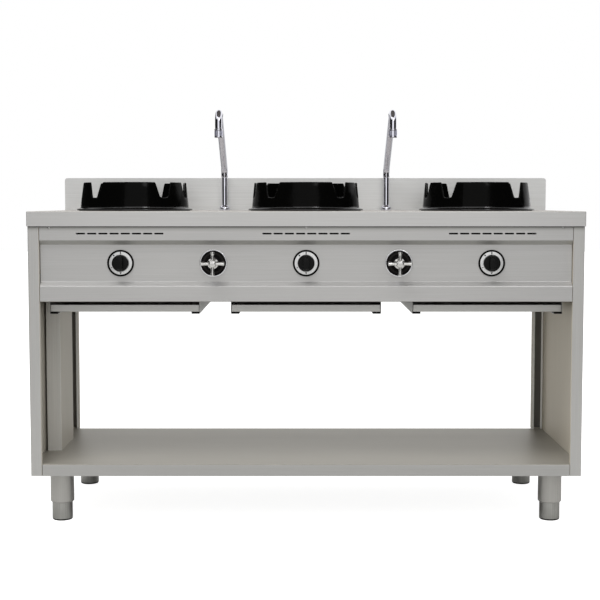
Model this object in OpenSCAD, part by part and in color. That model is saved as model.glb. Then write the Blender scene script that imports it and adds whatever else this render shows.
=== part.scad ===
// Wok range with three open burners, two swivel water spouts and three drip trays.
// The pieces are drawn with the worktop's front edge at Y = 0, and place() centres the whole
// on its footprint: the origin is on the floor, the front faces -Y.

/* [Worktop] */
// Width of the worktop
worktop_w = 1500; // [1460:10:1700]
// Depth of the worktop
worktop_d = 600; // [590:5:680]
// Height of the worktop above the floor
worktop_h = 850; // [820:10:950]
// Thickness of the worktop sheet
top_t = 1.5; // [1.2:0.1:3]
// Height of the apron round the worktop
apron_h = 40; // [30:1:50]
// Width of the hem folded in under the apron
hem_w = 1.2; // [0.6:0.1:1.4]
// Height of the upstand at the back
upstand_h = 100; // [60:5:150]
// Thickness of the upstand
upstand_t = 12; // [8:1:20]
// Radius of the upstand's top corners
upstand_r = 8; // [3:1:20]

/* [Cabinet] */
// Gap between the cabinet's sides and the worktop's edge
side_gap = 2.5; // [2:0.5:6]
// Gap between the cabinet's front and the worktop's edge
face_y = 3; // [2.5:0.5:8]
// Thickness of the cabinet sheet
sheet_t = 1.5; // [1:0.1:2]
// Width of the side panels' front flanges
flange_w = 30; // [25:1:40]
// Depth of the lip folded in behind each flange
lip_w = 12; // [8:1:14]
// Height of the cabinet's underside above the floor
leg_h = 132; // [120:2:180]
// Height of the shelf's folded edge
shelf_edge_h = 32; // [25:1:40]
// Distance from the shelf's rear edge to the cabinet's back
shelf_back = 17; // [10:1:22]
// Width of the rear posts
post_w = 34; // [28:1:40]
// Depth of the rear posts
post_d = 25; // [22:1:30]
// Width of the lips that close the posts at the front
post_lip = 7; // [4:1:10]

/* [Control panel] */
// Height of the control panel below the apron
panel_h = 203; // [190:1:215]
// Height of the strip above the recess
upper_strip_h = 37.5; // [34:0.5:42]
// Height of the strip below the recess
lower_strip_h = 42; // [36:1:48]
// Depth of the recess, and height of its 45 degree slopes
recess_d = 12; // [8:1:14]
// Seam between the panel and the flanges beside it
panel_seam = 1.5; // [1:0.1:3]
// Width of the fold under the panel
panel_fold = 15; // [10:1:18]
// Number of vent slots in a group
slot_count = 8; // [4:1:10]
// Length of a vent slot
slot_l = 25; // [18:1:27]
// Width of a vent slot
slot_w = 4.5; // [3:0.5:6]
// Distance between neighbouring slots
slot_pitch = 30; // [28:1:34]
// Distance of the slots below the apron
slot_drop = 19.5; // [15:0.5:24]

/* [Wok places] */
// Distance of the burners behind the front edge
burner_y = 335; // [325:5:345]
// Radius of the round openings in the worktop
opening_r = 149; // [145:1:150]
// Radius of the bowl's flange
bowl_flange_r = 161; // [158:1:163]
// Depth of the bowl below the worktop
bowl_depth = 108; // [100:1:115]
// Radius of the hole in the bowl's floor
bowl_hole_r = 50; // [42:1:56]
// Height of the wok ring
ring_h = 80; // [70:1:95]
// Outer radius of the ring's wall at its top
ring_top_r = 150; // [148:0.5:153]
// Outer radius of the ring's wall at its foot
ring_foot_r = 157; // [156:0.5:160]
// Outer radius of the ring's flange
ring_flange_r = 167.5; // [165:0.5:172]
// Thickness of the ring's wall
ring_wall = 5; // [4:0.5:7]
// Thickness of the ring's flange at the wall
ring_flange_t = 6.5; // [5:0.5:10]
// Thickness of the ring's flange at its edge
ring_edge_t = 4; // [2:0.5:4.5]
// Number of notch places round the ring, of which the front one stays solid
notch_places = 9; // [6:1:10]
// Depth of a notch
notch_h = 45; // [30:1:50]
// Width of a notch at the top
notch_w = 51; // [36:1:54]
// Radius of a notch's round bottom
notch_r = 8; // [5:0.5:12]

/* [Burners] */
// Radius of the burner head
head_r = 75; // [65:1:85]
// Height of the burner head
head_h = 45; // [40:1:50]
// Distance from the worktop down to the top of the head
head_drop = 35; // [25:1:40]
// Wall of the casting
cast_t = 4; // [3:0.5:5]
// Outer radius of the neck below the head
neck_r = 28; // [25:1:32]
// Outer radius of the mixing tube
mixer_r = 20; // [17:1:23]
// Radius of the mixing tube's bell mouth
mixer_mouth_r = 24; // [21:1:26]
// Distance of the bell mouth behind the front edge
mixer_mouth_y = 130; // [125:1:140]
// Number of flame ports in the outer circle
outer_ports = 24; // [16:4:32]
// Number of flame ports in the inner circle
inner_ports = 12; // [8:2:16]
// Radius of a flame port
port_r = 2; // [1.5:0.25:2.5]

/* [Gas controls] */
// Radius of the gas manifold
manifold_r = 13.5; // [11:0.5:15]
// Distance of the manifold behind the front edge
manifold_y = 52; // [46:1:54]
// Distance of the manifold below the controls
manifold_drop = 56; // [52:1:60]
// Radius of the gas feed pipe
gas_pipe_r = 10.5; // [8:0.5:11]
// Radius of the valve body
valve_r = 14; // [13:0.5:16]
// Radius of the turning plug in the valve
plug_r = 9; // [8:0.5:10]
// Radius of the valve spindle
spindle_r = 4; // [3:0.25:5]
// Running clearance round spindles and plugs
run_gap = 0.05; // [0.02:0.01:0.09]
// Radius of the dial ring
dial_r = 36; // [32:1:42]
// Thickness of the dial ring
dial_t = 3; // [2:0.5:4]
// Radius of the knob
knob_r = 23; // [19:0.5:26]
// Height of the knob's round skirt
knob_skirt_h = 8; // [6:0.5:10]
// Height of the knob's grip above the skirt
knob_grip_h = 14; // [10:0.5:18]
// Width of the knob's grip
knob_grip_w = 17; // [12:0.5:20]
// How far the knob can be pushed in
knob_travel = 4; // [2:0.5:5]

/* [Water taps] */
// Radius of the black disc behind the handle
tap_disc_r = 35; // [30:1:40]
// Thickness of the black disc
tap_disc_t = 3; // [2:0.5:4]
// How far the cross handle stands out from the recess
handle_reach = 55; // [50:1:65]
// Radius from the middle of the cross handle to its tips
handle_r = 32; // [28:1:36]
// Radius of the handle's hub
hub_r = 10; // [9:0.5:12]
// Radius of a spoke where it leaves the hub
spoke_root_r = 3.7; // [2.5:0.1:4.2]
// Radius of a spoke at its flared tip
spoke_tip_r = 4.9; // [3:0.1:5.5]
// Radius of the eight-sided bonnet
bonnet_r = 17.5; // [15:0.5:20]
// Height of the bonnet in front of the disc
bonnet_h = 18; // [14:1:22]
// Radius of the tap's barrel behind the panel
barrel_r = 15; // [13:0.5:17]
// Radius of the water pipes
water_pipe_r = 7.5; // [6:0.5:9]

/* [Spouts] */
// Distance of the spouts behind the front edge
spout_y = 555; // [545:1:560]
// Radius of the riser
riser_r = 8.3; // [7:0.1:9]
// Height of the riser above the worktop
riser_h = 101; // [90:1:140]
// Radius of the base nut
base_nut_r = 16; // [14:0.5:20]
// Height of the base nut
base_nut_h = 16; // [12:1:20]
// Radius of the swivel tube
tube_r = 10; // [9.5:0.1:12]
// Radius of the tube's bends, to its middle
bend_r = 28; // [22:1:34]
// Forward reach of the outlet from the riser
spout_reach = 290; // [220:5:300]
// Height of the tube's highest point above the worktop
spout_top = 291; // [260:1:320]
// Radius of the collar between the slope and the hook
collar_r = 11; // [10.6:0.1:13]
// Radius of the aerator
aerator_r = 11.8; // [11:0.1:14]
// Height of the aerator
aerator_h = 25; // [18:1:30]
// Height of the aerator's mouth above the worktop
outlet_h = 209; // [200:1:215]

/* [Drip trays] */
// Space between neighbouring drip trays
tray_space = 90; // [80:5:130]
// Depth of a drip tray from front to back
tray_d = 470; // [440:5:470]
// Height of a drip tray
tray_h = 19; // [15:1:24]
// Sheet of a drip tray
tray_t = 1.2; // [0.8:0.1:1.5]
// Distance of the tray's front behind the front edge
tray_y = 89; // [84:1:92]
// Gap between the control panel's underside and the tray's rim
tray_drop = 15; // [12:1:20]
// Gap between the tray and the runner's web
tray_gap = 1; // [0.5:0.1:1.5]
// Width of the runner's lower flange
runner_w = 22; // [16:1:26]
// Height of the black glides on the runner
glide_h = 4; // [2:0.5:6]
// Length of a glide
glide_l = 30; // [20:1:40]

/* [Rails and duct] */
// Height and depth of the cross rails under the burners
rail_s = 25; // [20:1:30]
// Distance of the front rail behind the tray's front
rail_setback = 3; // [2:1:6]
// Width of the burner brackets
bracket_w = 40; // [30:1:50]
// Thickness of the burner brackets
bracket_t = 3; // [2:0.5:4]
// Radius of the post that carries the burner
pedestal_r = 14; // [10:1:18]
// Distance of the service duct behind the front edge
duct_y = 205; // [200:5:220]
// Depth of the service duct
duct_d = 195; // [180:5:200]
// Width of the service duct below the tray
duct_w = 41; // [39:1:44]
// Gap between the duct and the left side panel
duct_gap = 5; // [4:0.5:6]
// How far the inlet pipes reach below the cabinet
inlet_l = 32; // [20:1:40]

/* [Feet] */
// Distance of the feet from the worktop's sides
foot_inset = 76; // [70:1:90]
// Distance of the front feet behind the front edge
foot_front = 64; // [60:1:80]
// Distance of the rear feet ahead of the rear edge
foot_rear = 67; // [60:1:80]
// Radius of the leg sleeves
sleeve_r = 32; // [30:0.5:36]
// Height of the sleeves' lower end above the floor
sleeve_z = 50; // [40:1:55]
// Radius of the foot inserts
foot_r = 27.7; // [25:0.1:28.5]
// How far the foot inserts screw out
foot_travel = 50; // [20:1:55]
// Radius of the feet where they touch the floor
foot_base_r = 25; // [20:0.5:27]
// Height of the chamfer round the feet
foot_chamfer = 4; // [2:0.5:8]

/* [Screws] */
// Radius of a screw head
screw_head_r = 3.5; // [3:0.25:4.5]
// Height of a screw head
screw_head_h = 1.3; // [0.8:0.1:1.4]
// Radius of a screw shank
screw_r = 2; // [1.5:0.25:2.5]
// Length of a screw shank
screw_l = 8; // [6:1:12]

/* [Hidden] */
$fn = 64;

steel = "#b4b4b0";
satin = "#a8a7a2";
chrome = "#d8dade";
black = "#161616";
iron = "#2a2a2a";
brass = "#b79a56";

// One overrun for every cut, and one small play between pieces that only pass each other
over = 1;
play = 0.3;

// Heights of the main surfaces
plate_z = worktop_h - top_t;
apron_z = worktop_h - apron_h;
panel_z = apron_z - panel_h;
shelf_z = leg_h + shelf_edge_h;

// Widths and depths of the cabinet
cabinet_w = worktop_w - 2 * side_gap;
inner_x = cabinet_w / 2 - sheet_t;
flange_x = cabinet_w / 2 - flange_w;
back_y = worktop_d - face_y;
panel_w = 2 * (flange_x - panel_seam);

// The control panel's profile and the middle of its recess
recess_y = face_y + recess_d;
recess_back = recess_y + sheet_t;
strip_z = apron_z - upper_strip_h;
ledge_z = panel_z + lower_strip_h;
control_z = (strip_z + ledge_z) / 2;

// The front-most point of the whole, which is the middle of a cross handle
front_y = recess_y - handle_reach;

// Places of the three burners, the two taps and the four feet: the burners share the width
// equally, and the taps stand midway between them
sides = [-1, 0, 1];
pair = [-1, 1];
burner_pitch = worktop_w / len(sides);
tap_x = burner_pitch / 2;
foot_x = worktop_w / 2 - foot_inset;
rear_foot_y = worktop_d - foot_rear;

// Drip trays, runners and rails
tray_w = burner_pitch - tray_space;
tray_top = panel_z - tray_drop;
tray_z = tray_top - tray_h;
runner_z = tray_z - glide_h - sheet_t;
runner_x = tray_w / 2 + tray_gap;
front_rail_y = tray_y + rail_setback;
rear_rail_y = tray_y + tray_d + sheet_t + play - rail_s + sheet_t;
rail_end = rear_rail_y + rail_s;
rail_top = panel_z + rail_s;

// Burners
head_z = worktop_h - head_drop - head_h;
neck_z = control_z - mixer_r - cast_t;
manifold_z = control_z - manifold_drop;
saddle_z = manifold_z + manifold_r + sheet_t;
valve_front = recess_back + play;
valve_nose = valve_front + sheet_t + cast_t;
valve_end = manifold_y + valve_r + run_gap + sheet_t + cast_t;
cavity_front = valve_nose + cast_t + cast_t;
cavity_end = valve_end - cast_t - cast_t;
socket_end = (cavity_front + 2 * cavity_end) / 3;
bore_r = spindle_r + run_gap;
injector_r = 0.65 * valve_r;
injector_l = mixer_mouth_y - valve_end;

// Knobs: they stand off the dial ring by their travel
knob_back = recess_y - dial_t - knob_travel - play;
knob_front = knob_back - knob_skirt_h - knob_grip_h;
knob_socket = knob_grip_h;

// Taps
disc_front = recess_y - tap_disc_t;
bonnet_front = disc_front - bonnet_h;
shank_r = 0.7 * barrel_r;
barrel_end = manifold_y + manifold_r + 2 * water_pipe_r + cast_t + cast_t;
feed_y = manifold_y + manifold_r + water_pipe_r + cast_t;
feed_z = control_z - barrel_r - water_pipe_r - cast_t;
hub_back = bonnet_front - play;
spoke_y = front_y + 1.15 * hub_r;

// The service duct and the pipes in it
duct_x = -inner_x + duct_gap;
duct_top_w = 2 * (gas_pipe_r + sheet_t + cast_t);
pipe_x = duct_x + duct_top_w / 2;
gas_inlet_y = duct_y + 0.3 * duct_d;
water_inlet_y = duct_y + 0.7 * duct_d;
inlet_z = leg_h - inlet_l;
pipe_wall = sheet_t;
duct_shoulder = runner_z - cast_t;
duct_top = rail_top;

// Spouts
riser_top = worktop_h + riser_h;
spigot_l = 2 * riser_r;
lower_bend_z = riser_top + cast_t + cast_t;
outlet_y = spout_y - spout_reach;
upper_bend_y = outlet_y + bend_r;
upper_bend_z = worktop_h + spout_top - tube_r - bend_r;
outlet_z = worktop_h + outlet_h;
aerator_z = outlet_z + aerator_h;
slope_a = atan2(upper_bend_z - lower_bend_z, spout_y - bend_r - upper_bend_y);
slope_l = norm([upper_bend_z - lower_bend_z, spout_y - bend_r - upper_bend_y]);
tube_step = 0.15;

// Legs
leg_top = shelf_z - sheet_t;
leg_plate_t = 2 * sheet_t;
foot_top = sleeve_z + foot_travel + 2 * foot_chamfer;
sleeve_chamfer = 0.6 * (sleeve_r - foot_r);
stem_r = foot_r / 3;
foot_wall = 3 * sheet_t;
foot_floor = 3 * foot_chamfer;

// Screws: three under the apron, two under the shelf's edge, eight in the rear panel
apron_screw_z = apron_z - screw_head_r - play;
apron_screw_x = flange_x - 8 * screw_head_r;
shelf_screw_x = flange_x - 3 * screw_head_r;
shelf_screw_y = face_y + panel_fold / 2;
rear_screw_x = cabinet_w / 2 - post_w / 4;
rear_panel_z = panel_z - 1.5 * rail_s;
rear_screw_zs = [rear_panel_z + 5 * screw_head_r, apron_z - 5 * screw_head_r];

// Puts a piece on the shared frame
module place() translate([0, -(front_y + worktop_d) / 2, 0]) children();

// Lays a (Y, Z) outline along X, centred on the middle
module along_x(w) rotate([90, 0, 90]) linear_extrude(w, center = true) children();

// Turns a piece drawn along Z so that it runs back along Y from the given point
module along_y(x, y, z) translate([x, y, z]) rotate([-90, 0, 0]) children();

// A rod between two values of Y
module rod_y(x, y0, y1, z, r) along_y(x, y0, z) cylinder(r = r, h = y1 - y0);

// An upright rod between two heights
module rod_z(x, y, z0, z1, r) translate([x, y, z0]) cylinder(r = r, h = z1 - z0);

// A rod along X between two values of X
module rod_x(x0, x1, y, z, r) translate([x0, y, z]) rotate([0, 90, 0]) cylinder(r = r, h = x1 - x0);

// A box from one corner to the opposite corner
module block(a, b) translate(a) cube(b - a);

// A pan-head screw along Z, with the underside of its head at the origin
module screw() {
    cylinder(r1 = screw_head_r, r2 = 0.75 * screw_head_r, h = screw_head_h);
    translate([0, 0, -screw_l]) cylinder(r = screw_r, h = screw_l + screw_head_h / 2);
}

// Worktop: plate, apron on three sides with a small hem, and its openings
module worktop() color(steel) place() difference() {
    union() {
        block([-worktop_w / 2, 0, plate_z], [worktop_w / 2, worktop_d - sheet_t, worktop_h]);
        block([-worktop_w / 2, 0, apron_z], [worktop_w / 2, top_t, plate_z]);
        block([-worktop_w / 2, 0, apron_z], [worktop_w / 2, top_t + hem_w, apron_z + top_t]);
        for (s = pair) scale([s, 1, 1])
            block([worktop_w / 2 - top_t, 0, apron_z], [worktop_w / 2, worktop_d - sheet_t, plate_z]);
    }
    for (s = sides) rod_z(s * burner_pitch, burner_y, plate_z - over, worktop_h + over, opening_r);
    for (s = pair) rod_z(s * tap_x, spout_y, plate_z - over, worktop_h + over, riser_r + play);
}

// Rear upstand: an inverted channel with rounded top corners, standing on the plate
module upstand_face(inset) {
    w = worktop_w / 2 - inset;
    h = upstand_h - inset;
    r = upstand_r;
    translate([-w, 0]) square([2 * w, h - r]);
    translate([r - w, 0]) square([2 * (w - r), h]);
    for (s = pair) translate([s * (w - r), h - r]) circle(r = r);
}

module rear_upstand() color(steel) place() {
    difference() {
        translate([0, worktop_d, worktop_h]) rotate([90, 0, 0])
            linear_extrude(upstand_t) upstand_face(0);
        translate([0, worktop_d - sheet_t, worktop_h]) rotate([90, 0, 0])
            linear_extrude(upstand_t - 2 * sheet_t) upstand_face(sheet_t);
    }
    block([-worktop_w / 2, worktop_d - sheet_t, apron_z], [worktop_w / 2, worktop_d, worktop_h]);
}

// Side panels, drawn for the right: sheet, front flange with its lip, and a rear fold
module side_panel(s) color(steel) place() scale([s, 1, 1]) difference() {
    union() {
        block([inner_x, face_y, leg_h], [cabinet_w / 2, back_y, plate_z]);
        block([flange_x, face_y, leg_h], [cabinet_w / 2, face_y + sheet_t, plate_z]);
        block([flange_x, face_y, leg_h], [flange_x + sheet_t, face_y + lip_w, plate_z]);
        block([cabinet_w / 2 - post_w / 2, back_y - sheet_t, leg_h], [cabinet_w / 2, back_y, plate_z]);
    }
    for (z = rear_screw_zs) rod_y(rear_screw_x, back_y - screw_l, back_y + over, z, screw_r + play);
}
module left_side_panel() side_panel(-1);
module right_side_panel() side_panel(1);

// Control panel: folded sheet with a recess, vent slots and holes for the controls
module panel_outline() polygon([
    [face_y, plate_z], [face_y, strip_z], [recess_y, strip_z - recess_d],
    [recess_y, ledge_z + recess_d], [face_y, ledge_z], [face_y, panel_z],
    [face_y + panel_fold, panel_z], [face_y + panel_fold, panel_z + sheet_t],
    [face_y + sheet_t, panel_z + sheet_t], [face_y + sheet_t, ledge_z],
    [recess_back, ledge_z + recess_d], [recess_back, strip_z - recess_d],
    [face_y + sheet_t, strip_z], [face_y + sheet_t, plate_z]]);

module slot() {
    w = slot_l - slot_w;
    translate([-w / 2, -slot_w / 2]) square([w, slot_w]);
    for (s = pair) translate([s * w / 2, 0]) circle(d = slot_w);
}

module control_panel() color(steel) place() difference() {
    along_x(panel_w) panel_outline();
    for (s = sides, i = [0 : slot_count - 1])
        along_y(s * burner_pitch + (i - (slot_count - 1) / 2) * slot_pitch, face_y - over,
            apron_z - slot_drop)
            linear_extrude(sheet_t + 2 * over) slot();
    for (s = sides) rod_y(s * burner_pitch, face_y, recess_back + over, control_z, 2 * spindle_r);
    for (s = pair) rod_y(s * tap_x, face_y, recess_back + over, control_z, shank_r + play);
    for (s = sides) rod_y(s * apron_screw_x, face_y - over, recess_y, apron_screw_z, screw_r + play);
}

// Rear panel, screwed to the side panels' folds
module rear_panel() color(steel) place() difference() {
    block([-cabinet_w / 2, back_y, rear_panel_z], [cabinet_w / 2, back_y + sheet_t, plate_z]);
    for (s = pair, z = rear_screw_zs)
        rod_y(s * rear_screw_x, back_y - over, worktop_d, z, screw_r + play);
}

// Bottom shelf: a pan with its edges folded down, notched round the flanges
module bottom_shelf() color(satin) place() difference() {
    notch_y = face_y + lip_w + panel_seam;
    rear = back_y - shelf_back;
    union() {
        block([-inner_x, notch_y, shelf_z - sheet_t], [inner_x, rear, shelf_z]);
        block([-panel_w / 2, face_y, shelf_z - sheet_t], [panel_w / 2, notch_y, shelf_z]);
        block([-panel_w / 2, face_y, leg_h], [panel_w / 2, face_y + sheet_t, shelf_z]);
        block([-panel_w / 2, face_y, leg_h], [panel_w / 2, face_y + panel_fold, leg_h + sheet_t]);
        block([-inner_x, rear - sheet_t, leg_h], [inner_x, rear, shelf_z]);
        for (s = pair) scale([s, 1, 1])
            block([inner_x - sheet_t, notch_y, leg_h], [inner_x, rear, shelf_z]);
    }
    rod_z(pipe_x, gas_inlet_y, leg_h, shelf_z + over, gas_pipe_r + play);
    rod_z(pipe_x, water_inlet_y, leg_h, shelf_z + over, water_pipe_r + play);
    for (s = pair) rod_z(s * shelf_screw_x, shelf_screw_y, leg_h - over, leg_top - over, screw_r + play);
}

// Rear posts: C-shaped uprights that stand on the shelf, open to the front
module rear_posts() color(steel) place() for (s = pair) scale([s, 1, 1]) difference() {
    y1 = back_y - sheet_t;
    y0 = y1 - post_d;
    x0 = inner_x - post_w;
    block([x0, y0, shelf_z], [inner_x, y1, plate_z]);
    block([x0 + sheet_t, y0 + sheet_t, shelf_z - over], [inner_x - sheet_t, y1 - sheet_t, plate_z + over]);
    block([x0 + post_lip, y0 - over, shelf_z - over], [inner_x - post_lip, y0 + 2 * over, plate_z + over]);
    for (z = rear_screw_zs) rod_y(rear_screw_x, y1 - screw_l, y1 + over, z, screw_r + play);
}

// Service duct: an upright box round the inlet pipes, cut back at the top to clear the tray
module service_duct() color(steel) place() difference() {
    x1 = duct_x + duct_w;
    y1 = duct_y + duct_d;
    block([duct_x, duct_y, shelf_z], [x1, y1, duct_top]);
    block([duct_x + sheet_t, duct_y + sheet_t, shelf_z - over],
        [x1 - sheet_t, y1 - sheet_t, duct_shoulder - sheet_t]);
    block([duct_x + sheet_t, duct_y + sheet_t, shelf_z],
        [duct_x + duct_top_w - sheet_t, y1 - sheet_t, duct_top + over]);
    block([duct_x + duct_top_w, duct_y - over, duct_shoulder], [x1 + over, y1 + over, duct_top + over]);
}

// Cross rails: two square tubes from side panel to side panel
module cross_rails() color(steel) place() for (y = [front_rail_y, rear_rail_y]) difference() {
    block([-inner_x, y, panel_z], [inner_x, y + rail_s, rail_top]);
    block([-inner_x - over, y + sheet_t, panel_z + sheet_t],
        [inner_x + over, y + rail_s - sheet_t, rail_top - sheet_t]);
}

// Tray runners: a web beside each end of a tray and a flange under it
module tray_runners() color(steel) place() for (c = sides, s = pair)
    translate([c * burner_pitch, 0, 0]) scale([s, 1, 1]) {
        block([runner_x, front_rail_y, runner_z], [runner_x + sheet_t, rail_end, panel_z]);
        block([runner_x - runner_w, front_rail_y, runner_z], [runner_x, rail_end, runner_z + sheet_t]);
        block([runner_x - runner_w, rail_end - sheet_t, runner_z], [runner_x, rail_end, tray_z + glide_h]);
    }

// Runner glides: low black blocks that the trays slide on, front and rear
module runner_glides() color(black) place()
    for (c = sides, s = pair, y = [tray_y + play, rail_end - sheet_t - glide_l])
        translate([c * burner_pitch, 0, 0]) scale([s, 1, 1]) difference() {
            block([runner_x - runner_w, y, runner_z], [runner_x - play, y + glide_l, tray_z]);
            block([runner_x - runner_w - over, front_rail_y, runner_z - over],
                [runner_x, rail_end, runner_z + sheet_t]);
        }

// Drip trays: shallow open boxes
module drip_tray(c) color(satin) place() difference() {
    x = c * burner_pitch;
    block([x - tray_w / 2, tray_y, tray_z], [x + tray_w / 2, tray_y + tray_d, tray_top]);
    block([x - tray_w / 2 + tray_t, tray_y + tray_t, tray_z + tray_t],
        [x + tray_w / 2 - tray_t, tray_y + tray_d - tray_t, tray_top + over]);
}
module left_drip_tray() drip_tray(-1);
module middle_drip_tray() drip_tray(0);
module right_drip_tray() drip_tray(1);

// Wok rings: cast conical walls on a flange, with round-bottomed notches
module ring_outline() polygon([
    [ring_foot_r - ring_wall, 0], [ring_flange_r, 0], [ring_flange_r, ring_edge_t],
    [ring_foot_r, ring_flange_t], [ring_top_r, ring_h], [ring_top_r - ring_wall, ring_h]]);

module ring_notch() {
    floor_z = ring_h - notch_h + notch_r;
    foot = 0.8 * notch_r;
    rise = ring_h - floor_z;
    lip = foot + (notch_w / 2 - foot) * (rise + over) / rise;
    polygon([[-foot, floor_z], [foot, floor_z], [lip, ring_h + over], [-lip, ring_h + over]]);
    translate([0, floor_z]) rotate([0, 0, 90]) circle(r = notch_r);
}

module wok_ring(c) color(black) place()
    translate([c * burner_pitch, burner_y, worktop_h + sheet_t]) difference() {
        rotate_extrude($fn = 128) ring_outline();
        for (i = [1 : notch_places - 1]) rotate([0, 0, i * 360 / notch_places])
            translate([0, over - ring_top_r + 2 * ring_wall, 0]) rotate([90, 0, 0])
                linear_extrude(6 * ring_wall) ring_notch();
    }
module left_wok_ring() wok_ring(-1);
module middle_wok_ring() wok_ring(0);
module right_wok_ring() wok_ring(1);

// Burner bowls: spun dishes that hang in the worktop's openings by their flanges
module bowl_outline() {
    r = opening_r - 0.5 * sheet_t;
    bend = 0.55 * bowl_depth;
    polygon([
        [r - sheet_t, sheet_t], [bowl_flange_r, sheet_t], [bowl_flange_r, 0], [r, 0],
        [r, -bend], [0.8 * r, -0.85 * bowl_depth], [bowl_hole_r, -bowl_depth],
        [bowl_hole_r, sheet_t - bowl_depth], [0.8 * r - sheet_t, sheet_t - 0.85 * bowl_depth],
        [r - sheet_t, sheet_t - bend]]);
}

module burner_bowl(c) color(satin) place() translate([c * burner_pitch, burner_y, worktop_h])
    rotate_extrude($fn = 128) bowl_outline();
module left_burner_bowl() burner_bowl(-1);
module middle_burner_bowl() burner_bowl(0);
module right_burner_bowl() burner_bowl(1);

// Burners: a hollow head with flame ports, a neck, and a mixing tube that comes to the front
module head_outline() polygon([
    [0, 0], [neck_r, 0], [head_r - cast_t, head_h / 3], [head_r, head_h / 2],
    [head_r, 0.75 * head_h], [0.9 * head_r, head_h], [0, head_h]]);

module burner(c) color(iron) place() difference() {
    x = c * burner_pitch;
    union() {
        translate([x, burner_y, head_z]) rotate_extrude($fn = 96) head_outline();
        rod_z(x, burner_y, neck_z, head_z + cast_t, neck_r);
        rod_y(x, mixer_mouth_y + neck_r, burner_y, control_z, mixer_r);
        along_y(x, mixer_mouth_y, control_z) cylinder(r1 = mixer_mouth_r, r2 = mixer_r, h = neck_r + over);
    }
    translate([x, burner_y, head_z + head_h / 3 + cast_t])
        cylinder(r = head_r - 2 * cast_t, h = head_h / 3);
    rod_z(x, burner_y, neck_z + cast_t, head_z + head_h / 2, neck_r - cast_t);
    rod_y(x, mixer_mouth_y - over, burner_y, control_z, mixer_r - cast_t);
    for (i = [0 : outer_ports - 1]) rotate_about(x, i * 360 / outer_ports, 0.8 * head_r);
    for (i = [0 : inner_ports - 1]) rotate_about(x, i * 360 / inner_ports, 0.45 * head_r);
}
module rotate_about(x, a, r) translate([x, burner_y, head_z + head_h / 2]) rotate([0, 0, a])
    translate([r, 0, 0]) cylinder(r = port_r, h = head_h);
module left_burner() burner(-1);
module middle_burner() burner(0);
module right_burner() burner(1);

// Burner brackets: a bar from rail to rail with a post that carries the neck
module burner_brackets() color(steel) place() for (c = sides) translate([c * burner_pitch, 0, 0]) {
    block([-bracket_w / 2, front_rail_y, rail_top], [bracket_w / 2, rail_end, rail_top + bracket_t]);
    rod_z(0, burner_y, rail_top, neck_z, pedestal_r);
}

// Gas injectors: a pipe from the valve, a nut and a drilled nozzle in the bell mouth
module gas_injectors() color(brass) place() for (c = sides) difference() {
    x = c * burner_pitch;
    union() {
        rod_y(x, valve_end, mixer_mouth_y, control_z, injector_r / 2);
        along_y(x, mixer_mouth_y - 0.6 * injector_l, control_z)
            cylinder(r = injector_r, h = 0.5 * injector_l, $fn = 6);
        along_y(x, mixer_mouth_y - over, control_z)
            cylinder(r1 = injector_r / 2, r2 = injector_r / 4, h = injector_r);
    }
    rod_y(x, valve_end - over, mixer_mouth_y + 2 * injector_r, control_z, port_r / 2);
}

// Gas manifold: the long pipe with a saddle for each valve, and its feed through the duct,
// with a thicker end below the cabinet for the connector
module gas_run(m, g, x1, z0) {
    rod_x(pipe_x, x1, manifold_y, manifold_z, m);
    rod_y(pipe_x, manifold_y, gas_inlet_y, manifold_z, g);
    rod_z(pipe_x, gas_inlet_y, z0, manifold_z, g);
    translate([pipe_x, manifold_y, manifold_z]) sphere(r = m);
    translate([pipe_x, gas_inlet_y, manifold_z]) sphere(r = g);
}

module gas_manifold() color(brass) place() difference() {
    x1 = burner_pitch + 3 * manifold_r;
    union() {
        gas_run(manifold_r, gas_pipe_r, x1, inlet_z);
        rod_z(pipe_x, gas_inlet_y, inlet_z, leg_h, gas_pipe_r + pipe_wall);
        for (c = sides) rod_z(c * burner_pitch, manifold_y, manifold_z, saddle_z, 0.7 * valve_r);
    }
    gas_run(manifold_r - pipe_wall, gas_pipe_r - pipe_wall, x1 - pipe_wall, inlet_z - over);
    for (c = sides) rod_z(c * burner_pitch, manifold_y, manifold_z, saddle_z + over, port_r);
}

// Gas valves: a barrel with a nose at the panel, a foot on the manifold and a bored cavity
module gas_valve(c) color(brass) place() difference() {
    x = c * burner_pitch;
    union() {
        rod_y(x, valve_nose, valve_end, control_z, valve_r);
        rod_y(x, valve_front, valve_nose + over, control_z, 2 * spindle_r);
        rod_z(x, manifold_y, saddle_z, control_z, 0.6 * valve_r);
    }
    rod_y(x, valve_front - over, cavity_front + over, control_z, bore_r);
    rod_y(x, cavity_front, cavity_end, control_z, plug_r + run_gap);
    rod_y(x, cavity_end - over, valve_end + over, control_z, port_r);
    rod_z(x, manifold_y, saddle_z - over, control_z, port_r);
}
module left_gas_valve() gas_valve(-1);
module middle_gas_valve() gas_valve(0);
module right_gas_valve() gas_valve(1);

// Valve plugs: they turn in the valve and are drilled for the gas and for the spindle
module valve_plug(c) color(brass) place() difference() {
    x = c * burner_pitch;
    rod_y(x, cavity_front + play, cavity_end - play, control_z, plug_r);
    rod_y(x, cavity_front, socket_end, control_z, bore_r);
    rod_y(x, socket_end + over, cavity_end, control_z, port_r);
    rod_z(x, cavity_end - 2 * cast_t, control_z - 2 * plug_r, control_z, 0.8 * port_r);
}
module left_valve_plug() valve_plug(-1);
module middle_valve_plug() valve_plug(0);
module right_valve_plug() valve_plug(1);

// Spindles: from the knob through the panel and the valve's nose into the plug
module spindle(c) color(satin) place()
    rod_y(c * burner_pitch, knob_back - knob_socket, socket_end - knob_travel - over, control_z, spindle_r);
module left_spindle() spindle(-1);
module middle_spindle() spindle(0);
module right_spindle() spindle(1);

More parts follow.
